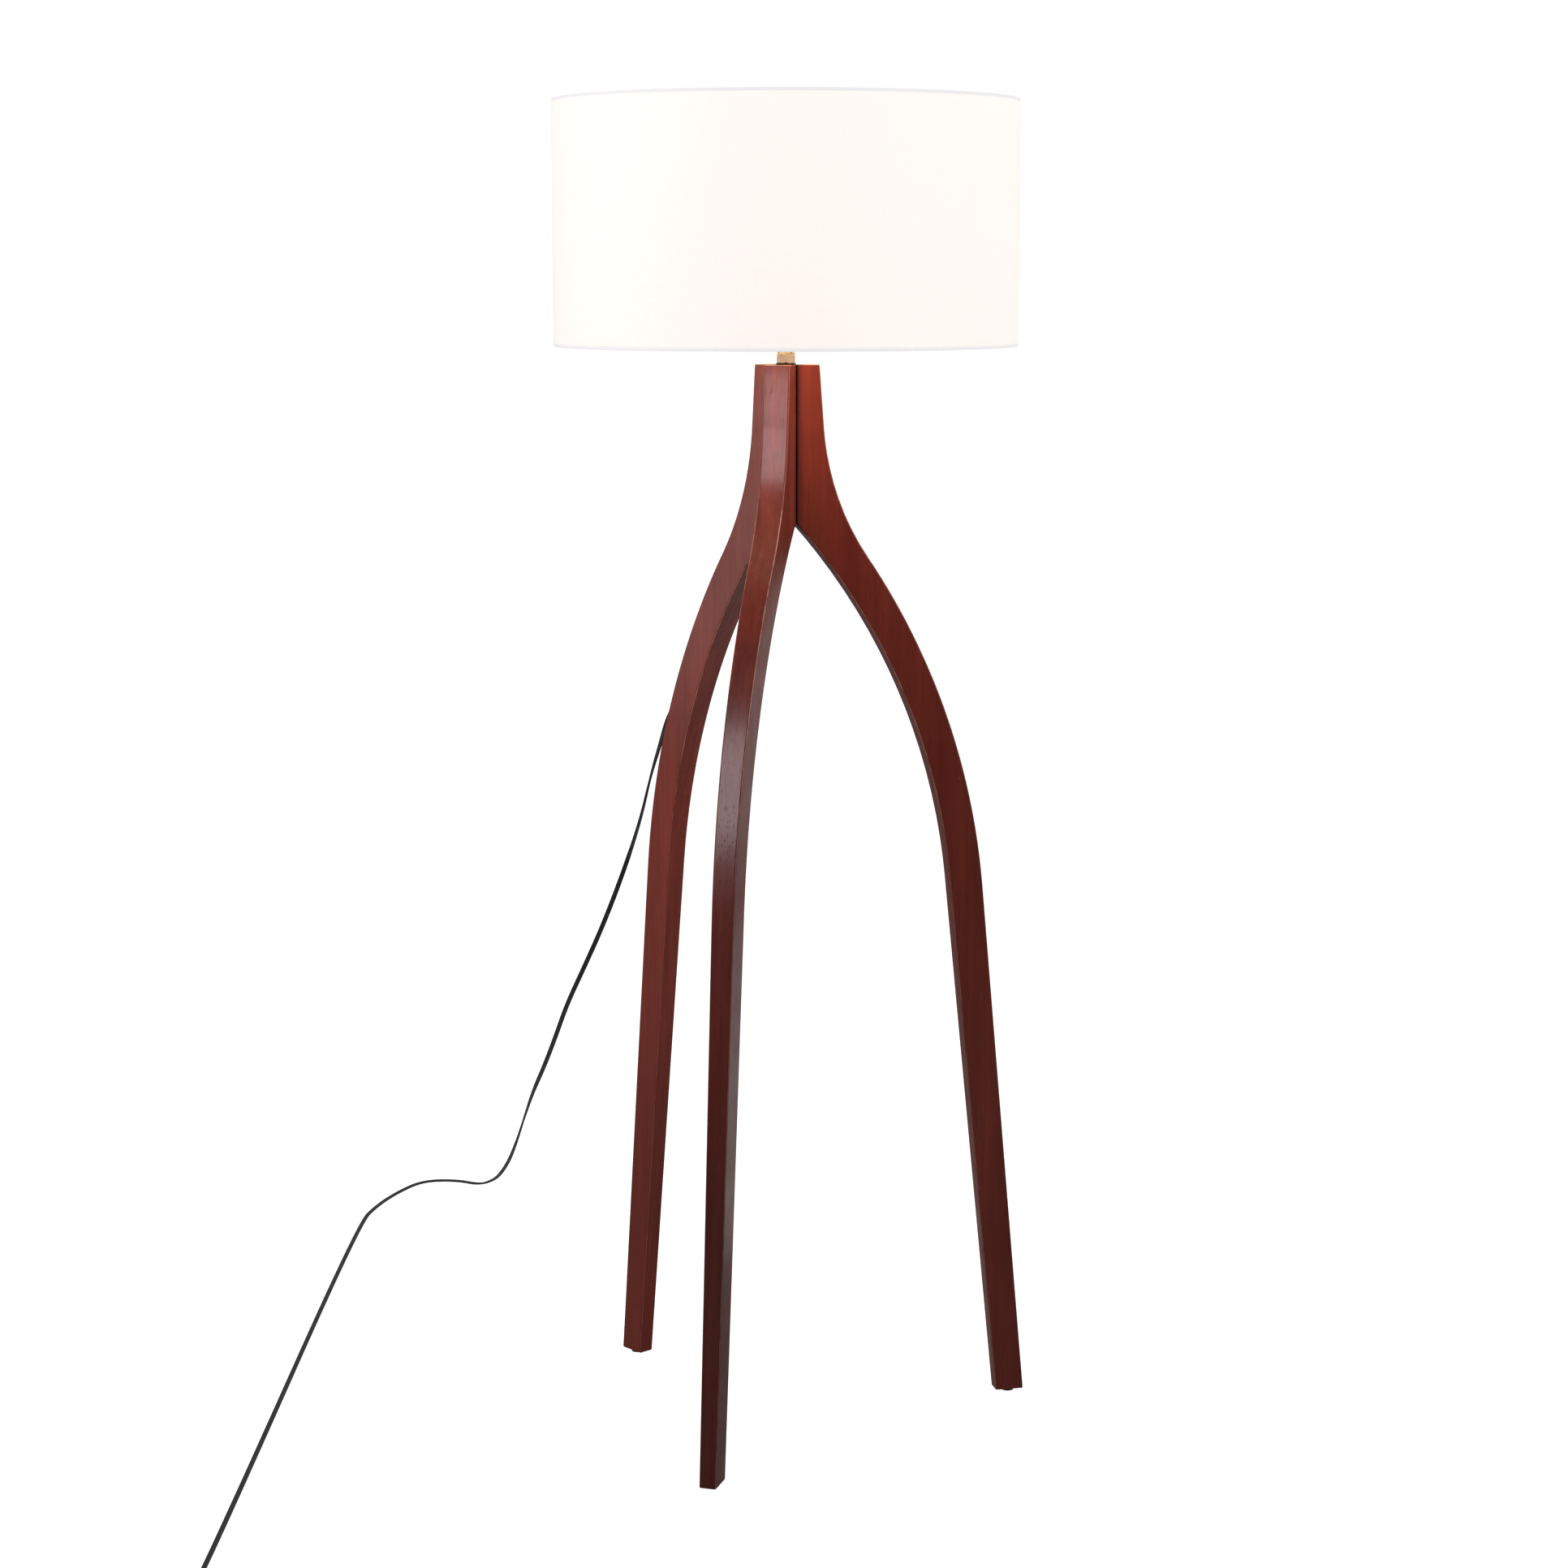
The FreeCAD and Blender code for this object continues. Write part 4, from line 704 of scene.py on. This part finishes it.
# Metals: colour, stain, roughness from and to, brushing, scratches and tarnish.
METALS = {
    "brass": ((0.84, 0.63, 0.36), (0.62, 0.42, 0.22), (0.14, 0.26), 0.5),
    "neck_brass": ((0.92, 0.60, 0.37), (0.74, 0.44, 0.24), (0.14, 0.20), 0.1, 0.3, 0.3),
    "blade_brass": ((0.80, 0.66, 0.38), (0.60, 0.46, 0.26), (0.2, 0.34), 0.5, 0.9),
    "dark_steel": ((0.075, 0.065, 0.058), (0.14, 0.09, 0.055), (0.32, 0.5), 0.4),
    "screw_shell_metal": ((0.77, 0.73, 0.66), (0.55, 0.50, 0.42), (0.25, 0.4), 0.6),
    "bulb_metal": ((0.80, 0.78, 0.72), (0.58, 0.55, 0.49), (0.22, 0.36), 0.6),
    "solder": ((0.62, 0.62, 0.61), (0.42, 0.41, 0.40), (0.4, 0.6), 0.2),
}
# Mouldings: darkest and lightest colour, and roughness from and to.
MOULDINGS = {
    "glide_rubber": ((0.035, 0.030, 0.027), (0.060, 0.053, 0.047), (0.75, 0.9)),
    "black_rubber": ((0.014, 0.014, 0.014), (0.024, 0.023, 0.022), (0.6, 0.8)),
    "black_phenolic": ((0.014, 0.013, 0.013), (0.026, 0.023, 0.021), (0.28, 0.4)),
    "black_glass": ((0.012, 0.012, 0.018), (0.022, 0.022, 0.03), (0.06, 0.12)),
    "cord_pvc": ((0.010, 0.010, 0.011), (0.016, 0.0155, 0.016), (0.34, 0.46)),
    "plug_pvc": ((0.012, 0.012, 0.013), (0.019, 0.0185, 0.019), (0.38, 0.5)),
}


def make_looks():
    """Every material but the boards', by the name of the slot that it is for."""
    made = {name: metal(name, *values) for name, values in METALS.items()}
    made.update({name: moulded(name, *values) for name, values in MOULDINGS.items()})
    made["zinc_steel"] = plated("zinc_steel", (0.60, 0.61, 0.62), (0.46, 0.46, 0.45))
    made["plain_wood"] = plain_wood()
    made["card"] = card()
    made["frosted_glass"] = bulb_glow()
    made["shade_cloth"] = cloth()
    made["shade_backing"] = styrene()
    made["white_wire"] = enamel()
    return made


looks = make_looks()


def dress(piece, material):
    """The material in every slot of the piece, without touching its mesh."""
    if not piece.material_slots:
        piece.data.materials.append(material)
    for slot in piece.material_slots:
        slot.link = "OBJECT"
        slot.material = material


slots = {part["node"]: part["material_slot"] for part in frame["record"]["subparts"]}
for count, (name, (azimuth, painted_light_levels)) in enumerate(BOARDS.items(), start=1):
    wood = lacquered_wood(f"wood_{name}", azimuth, SEED_STEP * count, painted_light_levels)
    dress(frame["nodes"][name], wood)
for name, slot_name in slots.items():
    if name not in BOARDS:
        dress(frame["nodes"][name], looks[slot_name])
dress(cord, looks["cord_pvc"])
dress(plug, looks["plug_pvc"])
# The neck is paler and cleaner than the brass that the shade hides.
dress(frame["nodes"]["hex_neck"], looks["neck_brass"])


# ------------------------------------------------------------------ shade cloth


WIRE = 0.0017  # radius of the rims' wire
LINER_THICKNESS = 0.0012
CLOTH_THICKNESS = 0.0006
SEAM_OVERLAP = 0.012
SEAM_LIFT = 0.0007  # how far the lapped end stands off the other
BOW_DEPTH = 0.00012
HEM_TURN = 0.014
HEM_DEPTH = 0.003  # cloth nearer to the axle than this is the turned hem
RIM_CORNER = 0.0016
SHADE_COLUMNS = 320
SHADE_ROWS = 26
WRAP_FROM, WRAP_BY = 168, 78  # degrees of the rim's wire that the cloth goes round
WRAP_STEPS = 6
CORNER_STEPS = 5


def bow(angle, rise):
    """How far the cloth stands off its backing: flat at the rims, uneven between."""
    swing = math.sin(2 * angle + 0.7) + 0.6 * math.sin(5 * angle + 2.1)
    swing += 0.4 * math.sin(9 * angle + 0.4)
    return BOW_DEPTH * (1.6 + swing) * math.sin(math.pi * rise)


def cloth_profile():
    """(radius, height, rise) up the cloth's middle surface, from the turned hem over
    the bottom rim's wire to the turned hem at the top. Rise goes from 0 to 1."""
    low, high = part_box("shade_fabric")
    ring_low, ring_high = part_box("shade_bottom_ring")
    wire_radius = ring_high.x - WIRE
    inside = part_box("shade_liner")[1].x - LINER_THICKNESS - CLOTH_THICKNESS
    outside = high.x - CLOTH_THICKNESS / 2
    around = WIRE + CLOTH_THICKNESS
    bottom = [
        (inside, low.z + HEM_TURN),
        (inside - 0.0002, low.z + HEM_TURN * 0.72),
        (inside - 0.0009, low.z + 0.0075),
    ]
    centre = (ring_low.z + ring_high.z) / 2
    for k in range(WRAP_STEPS + 1):
        angle = math.radians(WRAP_FROM + WRAP_BY * k / WRAP_STEPS)
        r = wire_radius + around * math.cos(angle)
        bottom.append((r, centre + around * math.sin(angle)))
    rim = low.z + CLOTH_THICKNESS / 2
    bottom.append((wire_radius + 0.0004, rim))
    for k in range(1, CORNER_STEPS + 1):
        angle = math.radians(90 * k / CORNER_STEPS - 90)
        r = outside - RIM_CORNER + RIM_CORNER * math.cos(angle)
        bottom.append((r, rim + RIM_CORNER + RIM_CORNER * math.sin(angle)))
    middle = (low.z + high.z) / 2
    top = [(r, 2 * middle - z) for r, z in reversed(bottom)]
    first = bottom[-1][1]
    height = top[0][1] - first
    side = [(outside, first + height * k / SHADE_ROWS) for k in range(1, SHADE_ROWS)]
    outline = bottom + side + top
    return [(r, z, min(1.0, max(0.0, (z - first) / height))) for r, z in outline]


def make_cloth():
    """The cloth as one strip round the shade, lapped over its own start at the back."""
    profile = cloth_profile()
    lap = SEAM_OVERLAP / SHADE_RADIUS
    start = math.radians(90) - lap / 2
    span = 2 * math.pi + lap
    lap_from, lap_rise = span - 1.8 * lap, 0.6 * lap  # where the end lifts over the start
    corners = []
    for k in range(SHADE_COLUMNS + 1):
        turn = span * k / SHADE_COLUMNS
        angle = start + turn
        over = min(1.0, max(0.0, (turn - lap_from) / lap_rise))
        lift = SEAM_LIFT * over
        for r, z, rise in profile:
            outer = r > SHADE_RADIUS - HEM_DEPTH
            radius = r + (lift if outer else -lift)
            if 0 < rise < 1:
                radius += bow(angle, rise)
            corners.append(polar(radius, angle, z))
    across = len(profile)
    faces = []
    for k in range(SHADE_COLUMNS):
        for j in range(across - 1):
            a = k * across + j
            faces.append((a, a + across, a + across + 1, a + 1))
    mesh = bpy.data.meshes.new("shade_cloth")
    mesh.from_pydata(corners, [], faces)
    mesh.shade_smooth()
    piece = add_object("shade_cloth", mesh)
    thick = piece.modifiers.new("thickness", "SOLIDIFY")
    thick.thickness = CLOTH_THICKNESS
    thick.offset = 0.0
    mesh.materials.append(looks["shade_cloth"])
    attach(piece, "shade")
    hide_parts("shade_fabric")


make_cloth()


# ------------------------------------------------------------------ stage and light


FLOOR_HALF = 30.0
FLOOR_GREY = (0.36, 0.36, 0.36)  # how much light the floor gives back
ROOM_LIGHT = 0.23  # brightness of the studio around the lamp
FLOOR_LIGHT = 1.0  # what the floor shows of its own, so that it stays pale
BACKDROP_LIGHT = 1.1
GLOW_RADIUS = 0.225
GLOW_RADIANCE = 3.0
GLOW_COLOUR = (1.0, 0.74, 0.48)
GLOW_DROP = 0.003  # how far inside the shade's open bottom the glow hangs
# Soft boxes: name, place, what it faces, width, height, radiance and, where it isn't
# white, colour.
SOFT_BOXES = [
    ("key_box", (-0.86, -2.52, 1.72), (0, 0, 0.95), 0.45, 1.05, 16.0, (1.0, 0.92, 0.97)),
    ("key_low", (-0.86, -2.52, 1.00), (0, 0, 1.10), 0.45, 0.34, 1.2),
    ("left_box", (-2.95, -0.55, 1.7), (0, 0, 0.8), 1.4, 2.9, 2.1),
    ("right_box", (2.75, 0.5, 1.5), (0, 0, 0.8), 1.4, 1.8, 4.4),
    ("neck_left", (-1.77, -1.90, 1.05), (0, 0, 1.1), 0.6, 0.6, 0.45),
    ("neck_right", (2.50, -0.60, 1.05), (0, 0, 1.1), 0.6, 0.6, 0.45),
    ("back_box", (0.8, 2.6, 0.9), (0, 0, 0.8), 1.6, 1.6, 0.6),
    ("back_low", (0.45, 1.5, 0.004), (0.45, 1.5, 1.0), 1.2, 2.0, 0.5),
    ("top_box", (0.2, 0.4, 3.6), (0, 0, 0.8), 2.4, 2.4, 0.5),
]


def make_floor():
    """A pale floor, which the camera sees white to the horizon."""
    mesh = bpy.data.meshes.new("floor")
    half = FLOOR_HALF
    corners = [(-half, -half, 0), (half, -half, 0), (half, half, 0), (-half, half, 0)]
    mesh.from_pydata(corners, [], [(0, 1, 2, 3)])
    floor = add_object("floor", mesh)
    look = Look("floor_white", Base_Color=FLOOR_GREY, Roughness=0.9)
    seen = look.node("ShaderNodeLightPath", {}, output="Is Camera Ray")
    look.set(Emission_Color=(1.0, 1.0, 1.0))
    look.set(Emission_Strength=look.math("MULTIPLY", seen, FLOOR_LIGHT))
    mesh.materials.append(look.material)


def make_world():
    """White surroundings for the camera, and dimmer ones for everything else."""
    world = bpy.data.worlds.new("studio")
    bpy.context.scene.world = world
    world.use_nodes = True
    tree = world.node_tree
    shade = tree.nodes["Background"]
    shade.inputs["Color"].default_value = (1, 1, 1, 1)
    seen = tree.nodes.new("ShaderNodeLightPath").outputs["Is Camera Ray"]
    level = tree.nodes.new("ShaderNodeMapRange")
    level.inputs["To Min"].default_value = ROOM_LIGHT
    level.inputs["To Max"].default_value = BACKDROP_LIGHT
    tree.links.new(seen, level.inputs["Value"])
    tree.links.new(level.outputs["Result"], shade.inputs["Strength"])


def soft_box(name, place, target, width, height, radiance, colour=(1, 1, 1)):
    """A rectangular light at place that faces target, with the radiance given."""
    data = bpy.data.lights.new(name, "AREA")
    data.shape = "RECTANGLE"
    data.size = width
    data.size_y = height
    data.energy = radiance * width * height * math.pi
    data.color = colour
    light = add_object(name, data)
    light.location = place
    light.rotation_mode = "QUATERNION"
    away = Vector(target) - Vector(place)
    light.rotation_quaternion = away.to_track_quat("-Z", "Y")
    light.visible_camera = False


def make_glow():
    """The lit shade's warm light on the stand, from just inside its open bottom."""
    data = bpy.data.lights.new("shade_glow", "AREA")
    data.shape = "DISK"
    data.size = 2 * GLOW_RADIUS
    data.energy = GLOW_RADIANCE * (math.pi * GLOW_RADIUS) ** 2
    data.color = GLOW_COLOUR
    light = add_object("shade_glow", data)
    light.location = (0, 0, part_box("shade_fabric")[0].z + GLOW_DROP)
    light.visible_camera = False
    light.visible_glossy = False


make_floor()
make_world()
for box in SOFT_BOXES:
    soft_box(*box)
make_glow()
bpy.context.scene.view_settings.view_transform = "Standard"
